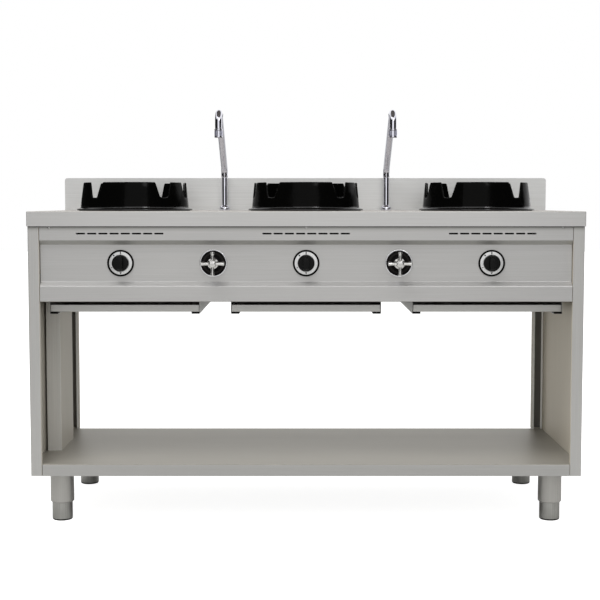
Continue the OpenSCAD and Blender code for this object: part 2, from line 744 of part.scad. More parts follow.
// Knobs: a round skirt with a grip bar across it
module knob(c) color(black) place() difference() {
    union() {
        along_y(c * burner_pitch, knob_back - knob_skirt_h, control_z)
            cylinder(r1 = 0.94 * knob_r, r2 = knob_r, h = knob_skirt_h);
        intersection() {
            along_y(c * burner_pitch, knob_front, control_z)
                cylinder(r1 = 0.6 * knob_r, r2 = 0.97 * knob_r, h = knob_grip_h + over);
            block([c * burner_pitch - knob_grip_w / 2, knob_front, control_z - knob_r],
                [c * burner_pitch + knob_grip_w / 2, knob_back - over, control_z + knob_r]);
        }
    }
    rod_y(c * burner_pitch, knob_back - knob_socket, knob_back + over, control_z, bore_r);
}
module left_knob() knob(-1);
module middle_knob() knob(0);
module right_knob() knob(1);

// Dial rings: flat discs on the panel behind the knobs, with a low outer rim
module dial_rings() color(black) place() for (c = sides) difference() {
    rod_y(c * burner_pitch, recess_y - dial_t, recess_y, control_z, dial_r);
    rod_y(c * burner_pitch, recess_y - dial_t - over, recess_y + over, control_z, 2 * spindle_r);
    rod_y(c * burner_pitch, recess_y - dial_t - over, recess_y - 0.8 * dial_t, control_z, 0.9 * dial_r);
}

// Tap valves: an eight-sided bonnet, a shank through the panel and a barrel behind it
module tap_valve(s) color(chrome) place() difference() {
    x = s * tap_x;
    union() {
        intersection() {
            along_y(x, bonnet_front, control_z) rotate([0, 0, 22.5])
                cylinder(r = bonnet_r, h = bonnet_h, $fn = 8);
            along_y(x, bonnet_front, control_z)
                cylinder(r1 = 0.7 * bonnet_r, r2 = 1.1 * bonnet_r, h = bonnet_h);
        }
        rod_y(x, disc_front - over, recess_back + play + over, control_z, shank_r);
        rod_y(x, recess_back, barrel_end, control_z, barrel_r);
        rod_z(x, feed_y, control_z - barrel_r - cast_t / 2, control_z, water_pipe_r + sheet_t);
    }
    rod_y(x, bonnet_front - over, feed_y - water_pipe_r, control_z, bore_r);
}
module left_tap_valve() tap_valve(-1);
module right_tap_valve() tap_valve(1);

// Tap discs: black plates with a raised rim between the bonnet and the panel
module tap_discs() color(black) place() for (s = pair) difference() {
    rod_y(s * tap_x, disc_front, recess_y, control_z, tap_disc_r);
    rod_y(s * tap_x, disc_front - over, recess_y + over, control_z, shank_r + play);
}

// Cross handles: a hub with a domed cap and four flared spokes
module cross_handle(s) color(chrome) place() difference() {
    x = s * tap_x;
    union() {
        rod_y(x, front_y + 0.3 * hub_r, hub_back, control_z, hub_r);
        along_y(x, front_y, control_z) cylinder(r1 = 0.7 * hub_r, r2 = hub_r, h = 0.3 * hub_r);
        for (a = [0 : 90 : 270]) translate([x, spoke_y, control_z]) rotate([0, a, 0])
            cylinder(r1 = spoke_root_r, r2 = spoke_tip_r, h = handle_r);
    }
    rod_y(x, spoke_y, hub_back + over, control_z, bore_r);
}
module left_cross_handle() cross_handle(-1);
module right_cross_handle() cross_handle(1);

// Tap spindles: they join the handle to the valve's headwork
module tap_spindle(s) color(brass) place()
    rod_y(s * tap_x, spoke_y + play, feed_y - water_pipe_r - play, control_z, spindle_r);
module left_tap_spindle() tap_spindle(-1);
module right_tap_spindle() tap_spindle(1);

// Spout risers: upright pipes through the worktop, with a spigot that the spouts turn on
module spout_risers() color(chrome) place() for (s = pair) {
    rod_z(s * tap_x, spout_y, apron_z, riser_top, riser_r);
    rod_z(s * tap_x, spout_y, riser_top, riser_top + spigot_l, 0.8 * riser_r);
}

// Base nuts: domed rings where the risers leave the worktop
module spout_base_nuts() color(chrome) place() for (s = pair)
    translate([s * tap_x, spout_y, worktop_h]) difference() {
        union() {
            cylinder(r = base_nut_r, h = 0.6 * base_nut_h);
            translate([0, 0, 0.6 * base_nut_h])
                cylinder(r1 = base_nut_r, r2 = 0.65 * base_nut_r, h = 0.4 * base_nut_h);
        }
        translate([0, 0, -over]) cylinder(r = riser_r + run_gap, h = base_nut_h + 2 * over);
    }

// Swivel spouts: up from the riser, forward on a slope, over a hook and down to the aerator.
// The straight lengths are thinner than the bends by one step, so that they plug into them.
module tube_bend(y, z, from, turn) translate([0, y, z]) rotate([90, 0, 90]) rotate([0, 0, from])
    rotate_extrude(angle = turn) translate([bend_r, 0]) circle(r = tube_r);

module slope_rod(from, to, r) translate([0, spout_y - bend_r, lower_bend_z]) rotate([90 - slope_a, 0, 0])
    translate([0, bend_r, from]) cylinder(r = r, h = to - from);

module spout(s) color(chrome) place() translate([s * tap_x, 0, 0]) difference() {
    union() {
        rod_z(0, spout_y, riser_top, lower_bend_z + over, tube_r - tube_step);
        tube_bend(spout_y - bend_r, lower_bend_z, 0, 90 - slope_a);
        slope_rod(-over, slope_l + over, tube_r - tube_step);
        slope_rod(slope_l - cast_t, slope_l + over, collar_r);
        tube_bend(upper_bend_y, upper_bend_z, 90 - slope_a, 90 + slope_a);
        rod_z(0, outlet_y, aerator_z, upper_bend_z + over, tube_r - tube_step);
    }
    rod_z(0, spout_y, riser_top - over, riser_top + spigot_l + play, 0.8 * riser_r + run_gap);
}
module left_spout() spout(-1);
module right_spout() spout(1);

// Aerators: knurled caps under the spouts' ends, open at the mouth
module aerator(s) color(chrome) place() difference() {
    rod_z(s * tap_x, outlet_y, outlet_z, aerator_z, aerator_r);
    rod_z(s * tap_x, outlet_y, outlet_z - over, aerator_z - cast_t, aerator_r - 2 * sheet_t);
}
module left_aerator() aerator(-1);
module right_aerator() aerator(1);

// Water pipes: the feed up the duct and along the taps, with a thicker end below the cabinet
// for the connector, and one pipe to each riser
module water_feed(r, z0, z1) {
    rod_z(pipe_x, water_inlet_y, z0, feed_z, r);
    rod_y(pipe_x, feed_y, water_inlet_y, feed_z, r);
    rod_x(pipe_x, tap_x, feed_y, feed_z, r);
    translate([pipe_x, water_inlet_y, feed_z]) sphere(r = r);
    translate([pipe_x, feed_y, feed_z]) sphere(r = r);
    translate([tap_x, feed_y, feed_z]) sphere(r = r);
    for (s = pair) rod_z(s * tap_x, feed_y, feed_z, z1, r);
}

module riser_feed(r, y0, z1) for (s = pair) {
    rod_y(s * tap_x, y0, spout_y, control_z, r);
    rod_z(s * tap_x, spout_y, control_z, z1, r);
    translate([s * tap_x, spout_y, control_z]) sphere(r = r);
}

module water_pipes() color(brass) place() {
    r = water_pipe_r - pipe_wall;
    difference() {
        union() {
            water_feed(water_pipe_r, inlet_z, control_z - barrel_r - cast_t / 2);
            rod_z(pipe_x, water_inlet_y, inlet_z, leg_h, water_pipe_r + pipe_wall);
        }
        water_feed(r, inlet_z - over, control_z);
    }
    difference() {
        riser_feed(water_pipe_r, barrel_end, apron_z);
        riser_feed(r, barrel_end - over, apron_z + over);
    }
}

// Leg sleeves: tubes with a chamfered lower end and a square plate under the shelf
module leg_sleeves() color(satin) place() for (s = pair, y = [foot_front, rear_foot_y])
    translate([s * foot_x, y, 0]) {
        bore = foot_r + run_gap;
        z1 = leg_top - leg_plate_t;
        rotate_extrude() polygon([[bore, sleeve_z], [sleeve_r - sleeve_chamfer, sleeve_z],
            [sleeve_r, sleeve_z + sleeve_chamfer], [sleeve_r, z1], [bore, z1]]);
        block([-sleeve_r, -sleeve_r, z1], [sleeve_r, sleeve_r, leg_top]);
    }

// Feet: hollow inserts that screw out of the sleeves on a stem
module foot(s, y) color(satin) place() translate([s * foot_x, y, 0]) rotate_extrude() polygon([
    [0, 0], [foot_base_r, 0], [foot_r, foot_chamfer], [foot_r, foot_top],
    [foot_r - foot_wall, foot_top], [foot_r - foot_wall, foot_floor], [stem_r, foot_floor],
    [stem_r, leg_top - leg_plate_t], [0, leg_top - leg_plate_t]]);
module front_left_foot() foot(-1, foot_front);
module front_right_foot() foot(1, foot_front);
module rear_left_foot() foot(-1, rear_foot_y);
module rear_right_foot() foot(1, rear_foot_y);

// Screws: under the apron, under the shelf's edge and in the rear panel
module screws() color(chrome) place() {
    for (s = sides) translate([s * apron_screw_x, face_y, apron_screw_z]) rotate([90, 0, 0]) screw();
    for (s = pair) translate([s * shelf_screw_x, shelf_screw_y, leg_h]) rotate([180, 0, 0]) screw();
    for (s = pair, z = rear_screw_zs)
        translate([s * rear_screw_x, back_y + sheet_t, z]) rotate([-90, 0, 0]) screw();
}

worktop();
rear_upstand();
left_side_panel();
right_side_panel();
control_panel();
rear_panel();
bottom_shelf();
rear_posts();
service_duct();
cross_rails();
tray_runners();
runner_glides();
left_drip_tray();
middle_drip_tray();
right_drip_tray();
left_wok_ring();
middle_wok_ring();
right_wok_ring();
left_burner_bowl();
middle_burner_bowl();
right_burner_bowl();
left_burner();
middle_burner();
right_burner();
burner_brackets();
gas_injectors();
gas_manifold();
left_gas_valve();
middle_gas_valve();
right_gas_valve();
left_valve_plug();
middle_valve_plug();
right_valve_plug();
left_spindle();
middle_spindle();
right_spindle();
left_knob();
middle_knob();
right_knob();
dial_rings();
left_tap_valve();
right_tap_valve();
tap_discs();
left_cross_handle();
right_cross_handle();
left_tap_spindle();
right_tap_spindle();
spout_risers();
spout_base_nuts();
left_spout();
right_spout();
left_aerator();
right_aerator();
water_pipes();
leg_sleeves();
front_left_foot();
front_right_foot();
rear_left_foot();
rear_right_foot();
screws();
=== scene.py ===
"""Looks for the wok range: folded stainless sheet, enamelled wok rings, taps, spouts and knobs."""
from math import atan2, cos, pi, radians, sin

import bmesh
import bpy
from mathutils import Matrix, Vector
from mathutils.bvhtree import BVHTree


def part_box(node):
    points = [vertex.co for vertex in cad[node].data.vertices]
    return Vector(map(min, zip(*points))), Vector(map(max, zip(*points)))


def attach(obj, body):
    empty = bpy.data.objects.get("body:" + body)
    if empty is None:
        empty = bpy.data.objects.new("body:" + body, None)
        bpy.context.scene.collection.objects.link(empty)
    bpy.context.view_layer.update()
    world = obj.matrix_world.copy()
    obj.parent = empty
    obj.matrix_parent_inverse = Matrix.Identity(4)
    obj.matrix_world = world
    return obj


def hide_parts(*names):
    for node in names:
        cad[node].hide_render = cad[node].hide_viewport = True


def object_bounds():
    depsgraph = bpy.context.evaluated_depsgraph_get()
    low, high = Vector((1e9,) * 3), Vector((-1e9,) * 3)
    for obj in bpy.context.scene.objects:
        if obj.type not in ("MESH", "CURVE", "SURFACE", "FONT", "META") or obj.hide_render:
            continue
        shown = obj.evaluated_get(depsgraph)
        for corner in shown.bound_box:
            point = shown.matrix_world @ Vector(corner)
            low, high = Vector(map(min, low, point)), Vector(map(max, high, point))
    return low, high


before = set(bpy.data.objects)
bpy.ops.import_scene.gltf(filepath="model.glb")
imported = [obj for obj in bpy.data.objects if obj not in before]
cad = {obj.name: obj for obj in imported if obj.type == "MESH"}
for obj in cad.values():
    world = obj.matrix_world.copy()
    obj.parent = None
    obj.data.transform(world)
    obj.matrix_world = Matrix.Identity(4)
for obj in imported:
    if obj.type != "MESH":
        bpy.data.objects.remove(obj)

cad_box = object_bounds()
scene = bpy.context.scene

MM = 0.001
SIDES = ("left", "middle", "right")
PAIR = ("left", "right")
MAIN = "range_body"


def fill_in(node, sockets):
    """Sets inputs by their labels, written with _ for a space."""
    for label, value in sockets.items():
        node.inputs[label.replace("_", " ")].default_value = value


def shader_node(tree, kind, **sockets):
    node = tree.nodes.new("ShaderNode" + kind)
    fill_in(node, sockets)
    return node


def wired(tree, *links):
    """Links the nodes of a tree: a node and its output, a node and its input."""
    for source, output, target, socket in links:
        tree.links.new(source.outputs[output], target.inputs[socket])


def placed(name, data):
    """A new object at the origin of the scene."""
    obj = bpy.data.objects.new(name, data)
    scene.collection.objects.link(obj)
    return obj


# ---- camera and studio
def set_up_camera():
    data = bpy.data.cameras.new("camera")
    data.lens = 78.56
    data.sensor_width = 36
    data.shift_x = -0.0007
    data.clip_end = 200
    camera = placed("camera", data)
    camera.location = (-0.0154, -3.7912, 0.8712)
    looks_down = 4.218
    camera.rotation_euler = (radians(90 - looks_down), 0, 0)
    scene.camera = camera


def seen_directly(tree):
    """1 for camera, glossy and transmission rays, which see the white of the studio."""
    path = shader_node(tree, "LightPath")
    total = path.outputs["Is Camera Ray"]
    for ray in ("Is Glossy Ray", "Is Transmission Ray"):
        add = shader_node(tree, "Math")
        add.operation = "MAXIMUM"
        tree.links.new(total, add.inputs[0])
        tree.links.new(path.outputs[ray], add.inputs[1])
        total = add.outputs[0]
    return total


def set_up_world(fill):
    world = bpy.data.worlds.new("studio")
    scene.world = world
    world.use_nodes = True
    tree = world.node_tree
    tree.nodes.clear()
    out, mix = shader_node(tree, "OutputWorld"), shader_node(tree, "MixShader")
    lamp = shader_node(tree, "Background", Color=(1, 1, 1, 1), Strength=fill)
    white = shader_node(tree, "Background", Color=(1, 1, 1, 1))
    tree.links.new(seen_directly(tree), mix.inputs[0])
    wired(tree, (lamp, 0, mix, 1), (white, 0, mix, 2), (mix, 0, out, 0))


def set_up_floor(half=20.0):
    mesh = bpy.data.meshes.new("floor")
    mesh.from_pydata([(-half, -half, 0), (half, -half, 0), (half, half, 0), (-half, half, 0)],
                     [], [(0, 1, 2, 3)])
    floor = placed("floor", mesh)
    finish = bpy.data.materials.new("pale_floor")
    finish.use_nodes = True
    tree = finish.node_tree
    tree.nodes.clear()
    matt = shader_node(tree, "BsdfDiffuse", Color=(0.54, 0.54, 0.53, 1))
    glow = shader_node(tree, "Emission", Color=(0.88, 0.88, 0.88, 1))
    out, both, mix, path = (shader_node(tree, kind) for kind in (
        "OutputMaterial", "AddShader", "MixShader", "LightPath"))
    wired(tree, (matt, 0, both, 0), (glow, 0, both, 1), (path, "Is Camera Ray", mix, 0),
          (matt, 0, mix, 1), (both, 0, mix, 2), (mix, 0, out, 0))
    mesh.materials.append(finish)


def softbox(name, place, aim, size, power, mirrored=True):
    data = bpy.data.lights.new(name, "AREA")
    data.shape = "RECTANGLE"
    data.size, data.size_y = size
    data.energy = power
    lamp = placed(name, data)
    lamp.location = place
    lamp.rotation_euler = (Vector(aim) - Vector(place)).to_track_quat("-Z", "Y").to_euler()
    lamp.visible_glossy = mirrored


def dark_walls(distance=3.4, height=2.6, steps=8, ceiling_r=2.4, ceiling_z=3.3, sides=32):
    """Dark side walls and a brown ceiling that only reflections see, so that chrome and enamel
    get their dark bands."""
    finishes = {}
    for name, shade in (("wall", (0.008, 0.008, 0.008, 1)), ("ceiling", (0.16, 0.145, 0.135, 1))):
        finish = finishes[name] = bpy.data.materials.new("studio_" + name)
        finish.use_nodes = True
        fill_in(finish.node_tree.nodes["Principled BSDF"], {"Base_Color": shade, "Roughness": 1})
    turns = [2 * pi * k / sides for k in range(sides)]
    shapes = {"ceiling": ([(ceiling_r * cos(a), ceiling_r * sin(a), ceiling_z) for a in turns],
                          [list(range(sides))])}
    for name, start, end in (("left", -150, -27), ("right", 27, 112)):
        rim = [radians(start + (end - start) * k / steps) for k in range(steps + 1)]
        corners = [(distance * sin(a), -distance * cos(a), z) for z in (0, height) for a in rim]
        faces = [(k, k + 1, k + steps + 2, k + steps + 1) for k in range(steps)]
        shapes["wall_" + name] = (corners, faces)
    for name, (corners, faces) in shapes.items():
        mesh = bpy.data.meshes.new("studio_" + name)
        mesh.from_pydata(corners, [], faces)
        mesh.materials.append(finishes["ceiling" if name == "ceiling" else "wall"])
        wall = placed(mesh.name, mesh)
        for ray in ("camera", "diffuse", "shadow", "transmission", "volume_scatter"):
            setattr(wall, "visible_" + ray, False)


# ---- finishes
def tint(shade):
    """An sRGB colour written as #rrggbb, as the shader wants it."""
    levels = [int(shade[i:i + 2], 16) / 255 for i in (1, 3, 5)]
    return [c / 12.92 if c <= 0.04045 else ((c + 0.055) / 1.055) ** 2.4 for c in levels] + [1.0]


class Recipe:
    """A finish while it is put together: one shader and the patterns that feed it."""

    def __init__(self, name, metal, gloss, **sockets):
        self.finish = bpy.data.materials.new(name)
        self.finish.use_nodes = True
        self.tree = self.finish.node_tree
        self.shader = self.tree.nodes["Principled BSDF"]
        fill_in(self.shader, {"Metallic": metal, "Roughness": gloss, **sockets})
        self.coords = self.new("TexCoord")

    def new(self, kind, **sockets):
        return shader_node(self.tree, kind, **sockets)

    def link(self, source, target):
        self.tree.links.new(source, target)

    def height(self):
        """The height over the floor, in metres."""
        split = self.new("SeparateXYZ")
        self.link(self.coords.outputs["Object"], split.inputs[0])
        return split.outputs["Z"]

    def noise(self, scale, detail, turn=(0, 0, 0), shift=(0, 0, 0)):
        """Noise that is stretched by three scales, in lumps per metre."""
        place = self.new("Mapping", Scale=scale, Rotation=turn, Location=shift)
        lumps = self.new("TexNoise", Scale=1, Detail=detail)
        self.link(self.coords.outputs["Object"], place.inputs["Vector"])
        self.link(place.outputs["Vector"], lumps.inputs["Vector"])
        return lumps.outputs["Fac"]

    def spread(self, fac, low, high, start=0.3, end=0.7):
        """Carries a pattern's middle range to another range."""
        reach = self.new("MapRange", From_Min=start, From_Max=end, To_Min=low, To_Max=high)
        self.link(fac, reach.inputs["Value"])
        return reach.outputs["Result"]

    def shades(self, fac, stops):
        ramp = self.new("ValToRGB")
        bar = ramp.color_ramp
        while len(bar.elements) < len(stops):
            bar.elements.new(0.5)
        for stop, (place, shade) in zip(bar.elements, stops):
            stop.position = place
            stop.color = tint(shade)
        self.link(fac, ramp.inputs["Fac"])
        return ramp.outputs["Color"]

    def multiplied(self, first, second):
        mix = self.new("Mix")
        mix.data_type = "RGBA"
        mix.blend_type = "MULTIPLY"
        factor, one, two = (mix.inputs[i] for i in (0, 6, 7))
        factor.default_value = 1.0
        self.link(first, one)
        self.link(second, two)
        return mix.outputs[2]

    def colour(self, source):
        self.link(source, self.shader.inputs["Base Color"])

    def gloss(self, source):
        self.link(source, self.shader.inputs["Roughness"])

    def relief(self, fac, depth):
        """Bump of a depth in metres."""
        bump = self.new("Bump", Distance=depth, Strength=1.0)
        self.link(fac, bump.inputs["Height"])
        self.link(bump.outputs["Normal"], self.shader.inputs["Normal"])


GRAIN = {"X": (5, 700, 700), "Z": (700, 700, 5)}
CLOUD = {"X": (1.2, 5, 5), "Z": (5, 5, 1.2)}
APRON_SHADOW_Z, APRON_SHADOW_FADE = 0.8105, 0.016     # the height of the painted shadow under the apron, and how far down it fades


def brushed(name, dark, light, along, metal=0.6, gloss=0.36, sheen=0.5, shadow_top=None):
    """Stainless sheet with a ground grain along one axis and faint clouds of handling.

    Below the height in metres given by the last argument, a painted shadow of the apron darkens the
    sheet, fading out downwards."""
    recipe = Recipe(name, metal, gloss, Specular_IOR_Level=sheen)
    grain = recipe.noise(GRAIN[along], 5)
    cloud = recipe.noise(CLOUD[along], 3, shift=(3, 7, 1))
    base = recipe.shades(cloud, [(0.3, dark), (0.7, light)])
    lines = recipe.shades(grain, [(0.25, "#f1f1f0"), (0.75, "#ffffff")])
    tone = recipe.multiplied(base, lines)
    # painted shadow under the apron: darkest at the given height, fading out over the band below it
    if shadow_top:
        below = recipe.spread(recipe.height(), 0, 1, shadow_top - APRON_SHADOW_FADE, shadow_top)
        fade = recipe.shades(below, [
            (0.0, "#ffffff"), (0.35, "#f4f4f3"), (0.7, "#cfcfcd"), (1.0, "#96968f")])
        tone = recipe.multiplied(tone, fade)
    recipe.colour(tone)
    recipe.gloss(recipe.spread(grain, gloss - 0.05, gloss + 0.07))
    recipe.relief(grain, 0.000004)
    return recipe.finish


def enamel(name, sheen=0.055):
    """Glossy black vitreous enamel over a cast surface, a little wavy."""
    recipe = Recipe(name, 0.0, 0.16, Specular_IOR_Level=sheen)
    wave = recipe.noise((34, 34, 34), 2)
    speck = recipe.noise((900, 900, 900), 3)
    recipe.colour(recipe.shades(speck, [(0.35, "#020202"), (0.75, "#080807")]))
    recipe.gloss(recipe.spread(wave, 0.12, 0.24))
    recipe.relief(wave, 0.0006)
    return recipe.finish


def cast_iron(name, dark="#17181a", light="#2e2d2c", gloss=0.6):
    recipe = Recipe(name, 0.35, gloss)
    sand = recipe.noise((1100, 1100, 1100), 4)
    stain = recipe.noise((40, 40, 40), 3)
    recipe.colour(recipe.shades(stain, [(0.3, dark), (0.7, light)]))
    recipe.gloss(recipe.spread(sand, gloss - 0.1, gloss + 0.15))
    recipe.relief(sand, 0.00025)
    return recipe.finish


def chromed(name, shade="#e2e2ec", light="#ececf5", gloss=0.025):
    recipe = Recipe(name, 1.0, gloss)
    haze = recipe.noise((60, 60, 60), 3)
    recipe.colour(recipe.shades(haze, [(0.3, shade), (0.7, light)]))
    recipe.gloss(recipe.spread(haze, gloss, gloss + 0.03))
    return recipe.finish


def plain_metal(name, dark, light, gloss=0.35, along=None):
    """Turned or drawn metal: brass fittings, pipes, screws and spindles."""
    recipe = Recipe(name, 1.0, gloss)
    marks = recipe.noise(GRAIN[along] if along else (260, 260, 260), 4)
    stain = recipe.noise((22, 22, 22), 3)
    tone = recipe.shades(stain, [(0.3, dark), (0.7, light)])
    lines = recipe.shades(marks, [(0.25, "#dcdcdc"), (0.75, "#ffffff")])
    recipe.colour(recipe.multiplied(tone, lines))
    recipe.gloss(recipe.spread(marks, gloss - 0.08, gloss + 0.12))
    return recipe.finish


def moulded(name, dark, light, gloss=0.4, texture=0.00006, sheen=0.15):
    """Moulded plastic with a fine eroded skin."""
    recipe = Recipe(name, 0.0, gloss, Specular_IOR_Level=sheen)
    skin = recipe.noise((1800, 1800, 1800), 2)
    cloud = recipe.noise((30, 30, 30), 2)
    recipe.colour(recipe.shades(cloud, [(0.3, dark), (0.7, light)]))
    recipe.gloss(recipe.spread(skin, gloss - 0.05, gloss + 0.08))
    recipe.relief(skin, texture)
    return recipe.finish


def heat_tinted(name):
    """Spun steel bowl with straw and blue tints from the flame near its floor."""
    recipe = Recipe(name, 0.9, 0.32)
    depth = recipe.spread(recipe.height(), 0, 1, 0.735, 0.852)
    stain = recipe.noise((18, 18, 30), 4)
    wander = recipe.spread(stain, -0.16, 0.16)
    add = recipe.new("Math")
    recipe.link(depth, add.inputs[0])
    recipe.link(wander, add.inputs[1])
    recipe.colour(recipe.shades(add.outputs[0], [
        (0.0, "#5d5a5c"), (0.2, "#7d7482"), (0.36, "#a08a68"), (0.55, "#aaa6a0"), (1.0, "#b2b1ae")]))
    recipe.gloss(recipe.spread(recipe.noise((500, 500, 20), 3), 0.26, 0.42))
    return recipe.finish


def silver_ring(name):
    """Satin silver of the dials, brushed on a slant."""
    recipe = Recipe(name, 0.9, 0.3)
    grain = recipe.noise((1400, 30, 26), 3, turn=(0, radians(38), 0))
    recipe.colour(recipe.shades(grain, [(0.3, "#cfcfcf"), (0.7, "#f2f2f2")]))
    recipe.gloss(recipe.spread(grain, 0.26, 0.42))
    return recipe.finish


FINISH = {
    "worktop": brushed("worktop_steel_brushed", "#c3c2c1", "#c9c8c7", "X"),
    # the worktop's upward faces: a darker, duller copy of its steel, painted shade that holds back their
    # bright reflection
    "worktop_top_shade": brushed("worktop_steel_face", "#a5a29e", "#aca9a5", "X",
                            metal=0.15, gloss=0.6, sheen=0.1),
    # a lighter copy of the worktop steel for the upstand's face: painted light
    "upstand": brushed("upstand_steel_brushed", "#d7d7d6", "#dddddc", "X"),
    # near-black painted shade for the cabinet's hidden inner faces, the vent slots' cut edges and the
    # bowls' outsides
    "inner_shade": cast_iron("sooty_inner_steel", "#121110", "#1d1b1a", 0.8),
    "sheet_x": brushed("cabinet_steel_brushed_along", "#aeadab", "#b4b3b1", "X"),
    # the cabinet's upright sheets and the front panel carry the painted shadow under the apron
    "sheet_z": brushed("cabinet_steel_brushed_upright", "#bbbab8", "#c1c0be", "Z", shadow_top=APRON_SHADOW_Z),
    "panel": brushed("panel_steel_brushed", "#b9b8b7", "#bfbebd", "X", shadow_top=APRON_SHADOW_Z),
    # a darker copy of the panel steel for the recess's downward-facing slope: painted shade
    "panel_slope_shade": brushed("panel_slope_brushed", "#a3a29e", "#a9a8a4", "X"),
    "inside": brushed("inner_steel_brushed", "#bdb8ad", "#c4bfb4", "Z", metal=0.25, gloss=0.5),
    # a dark copy for the posts' channel and a bright one for their front lip: painted shade and painted
    # highlight
    "channel": brushed("post_channel_brushed", "#7c7973", "#84817b", "Z", metal=0.1, gloss=0.6),
    "post_lip": brushed("post_lip_brushed", "#f0f0ee", "#f6f6f4", "Z", metal=0.1, gloss=0.5),
    # a lighter copy of the inner steel for the right panel's inner face, where the left takes the darker
    # one: painted light and painted shade
    "inside_lit": brushed("inner_steel_brushed_lit", "#d3cbbb", "#dad2c2", "Z", metal=0.25, gloss=0.5),
    # a darker, browner copy of the sheet for the shelf's top under the cabinet: painted shade
    "shelf": brushed("shelf_steel_brushed", "#9a968d", "#a09c93", "X", metal=0.35, gloss=0.45),
    "tray": brushed("tray_steel_brushed", "#c6c5c2", "#cdccc9", "X"),
    "duct": brushed("duct_steel_brushed", "#d2d0cb", "#d8d6d1", "Z", metal=0.3, gloss=0.45),
    "enamel": enamel("black_enamel"),
    # a shinier copy of the enamel for the rings' fillet faces, to show a highlight line: painted
    # highlight
    "enamel_highlight": enamel("black_enamel_edge", 0.6),
    "iron": cast_iron("burner_cast_iron"),
    "bowl": heat_tinted("bowl_steel_heat_tinted"),
    "chrome": chromed("polished_chrome"),
    "soft_chrome": chromed("soft_chrome_handle", "#d9d8d6", "#e4e3e1", 0.2),
    "satin_chrome": chromed("satin_chrome_rim", "#e2e2e4", "#eeeef0", 0.24),
    "brass": plain_metal("machined_brass", "#a5843c", "#c9a860", 0.3),
    "copper": plain_metal("water_pipe_brass", "#a8794f", "#c29468", 0.34),
    "pipe": plain_metal("zinc_coated_pipe", "#8b8c8b", "#a3a3a0", 0.42),
    "spindle": plain_metal("ground_spindle_steel", "#9b9b99", "#b5b5b2", 0.26),
    "leg": brushed("leg_tube_brushed", "#b3b1ad", "#bab8b4", "Z", gloss=0.32),
    "foot": plain_metal("foot_insert_steel", "#b4b3af", "#c0bfbb", 0.34, "Z"),
    "screw": plain_metal("screw_steel", "#b4b4b2", "#cbcbc8", 0.25),
    "knob": moulded("knob_black_plastic", "#070707", "#0e0e0e", 0.3, sheen=0.13),
    "rubber": moulded("black_foot_rim", "#0c0c0c", "#171717", 0.6),
    "glide": moulded("black_glide_plastic", "#090909", "#111111", 0.45, sheen=0.08),
    "dial_black": moulded("dial_black_lacquer", "#050404", "#0a0908", 0.3, sheen=0.06),
    "dial_band": moulded("tap_disc_grey_band", "#151312", "#1c1a19", 0.4, sheen=0.08),
    "dial_silver": silver_ring("dial_silver_brushed"),
    "mark_grey": moulded("dial_mark_grey", "#505050", "#5a5a5a", 0.45),
    "mark_black": moulded("dial_mark_black", "#141414", "#1c1c1c", 0.45),
}


# ---- mesh tools
def into_object(name, bm, finishes, smooth=38):
    """Makes a bmesh an object at the origin; edges under the angle of smooth are shaded over."""
    mesh = bpy.data.meshes.new(name)
    bm.to_mesh(mesh)
    bm.free()
    for key in finishes:
        mesh.materials.append(FINISH[key])
    obj = placed(name, mesh)
    if smooth:
        mesh.shade_smooth()
        mesh.set_sharp_from_angle(angle=radians(smooth))
    return obj


def dress(obj, body, slot, *nodes):
    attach(obj, body)
    if nodes:
        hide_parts(*nodes)


def closed_piece(name, bm, finish, body, slot, *nodes):
    """Makes a bmesh whose faces may point either way a piece of a body."""
    outward(bm)
    dress(into_object(name, bm, [finish]), body, slot, *nodes)


def eased(points, radii, steps, closed=False):
    """A polyline whose corners are rounded, each by its own radius."""
    count = len(points)
    result = []
    for i, point in enumerate(points):
        if (not closed and i in (0, count - 1)) or radii[i] <= 0:
            result.append(tuple(point))
            continue
        here = Vector(point)
        before = Vector(points[i - 1]) - here
        after = Vector(points[(i + 1) % count]) - here
        most = 0.48
        trim = min(radii[i], most * before.length, most * after.length)
        start, end = here + before.normalized() * trim, here + after.normalized() * trim
        for k in range(steps + 1):
            t = k / steps
            spot = start * (1 - t) ** 2 + here * 2 * t * (1 - t) + end * t ** 2
            result.append(tuple(spot))
    return result


def turned(bm, profile, place, steps, closed=False):
    """Turns a (radius, height) profile about its height; a radius of nought closes it."""
    rings = []
    for r, h in profile:
        if r < 1e-7:
            rings.append([bm.verts.new(place @ Vector((0, 0, h)))])
        else:
            rings.append([bm.verts.new(place @ Vector((r * cos(a), r * sin(a), h)))
                          for a in (2 * pi * i / steps for i in range(steps))])
    for lower, upper in zip(rings, rings[1:] + (rings[:1] if closed else [])):
        for i in range(steps):
            corners = [lower[i % len(lower)], lower[(i + 1) % len(lower)],
                       upper[(i + 1) % len(upper)], upper[i % len(upper)]]
            corners = [c for k, c in enumerate(corners) if c not in corners[:k]]
            if len(corners) > 2:
                bm.faces.new(corners)


def skin(bm, one, two):
    """Faces between two loops of equally many points."""
    for i in range(len(one)):
        n = (i + 1) % len(one)
        bm.faces.new((one[i], one[n], two[n], two[i]))


def in_mm(points):
    return [(a * MM, b * MM) for a, b in points]


def middle_of(node, axes):
    """Where the middle of a node's box lies along each of the axes."""
    low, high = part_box(node)
    return [(getattr(low, axis) + getattr(high, axis)) / 2 for axis in axes]


def outward(bm):
    bmesh.ops.remove_doubles(bm, verts=bm.verts, dist=1e-7)
    bmesh.ops.recalc_face_normals(bm, faces=bm.faces)


def upright(x, y, z=0.0):
    return Matrix.Translation((x, y, z))


def facing_front(x, y, z):
    """A place whose height runs towards the front."""
    return upright(x, y, z) @ Matrix.Rotation(pi / 2, 4, "X")


def slab(bm, low, high):
    """A box between two corners."""
    for v in bmesh.ops.create_cube(bm, size=1)["verts"]:
        v.co = Vector([low[i] + (v.co[i] + 0.5) * (high[i] - low[i]) for i in range(3)])


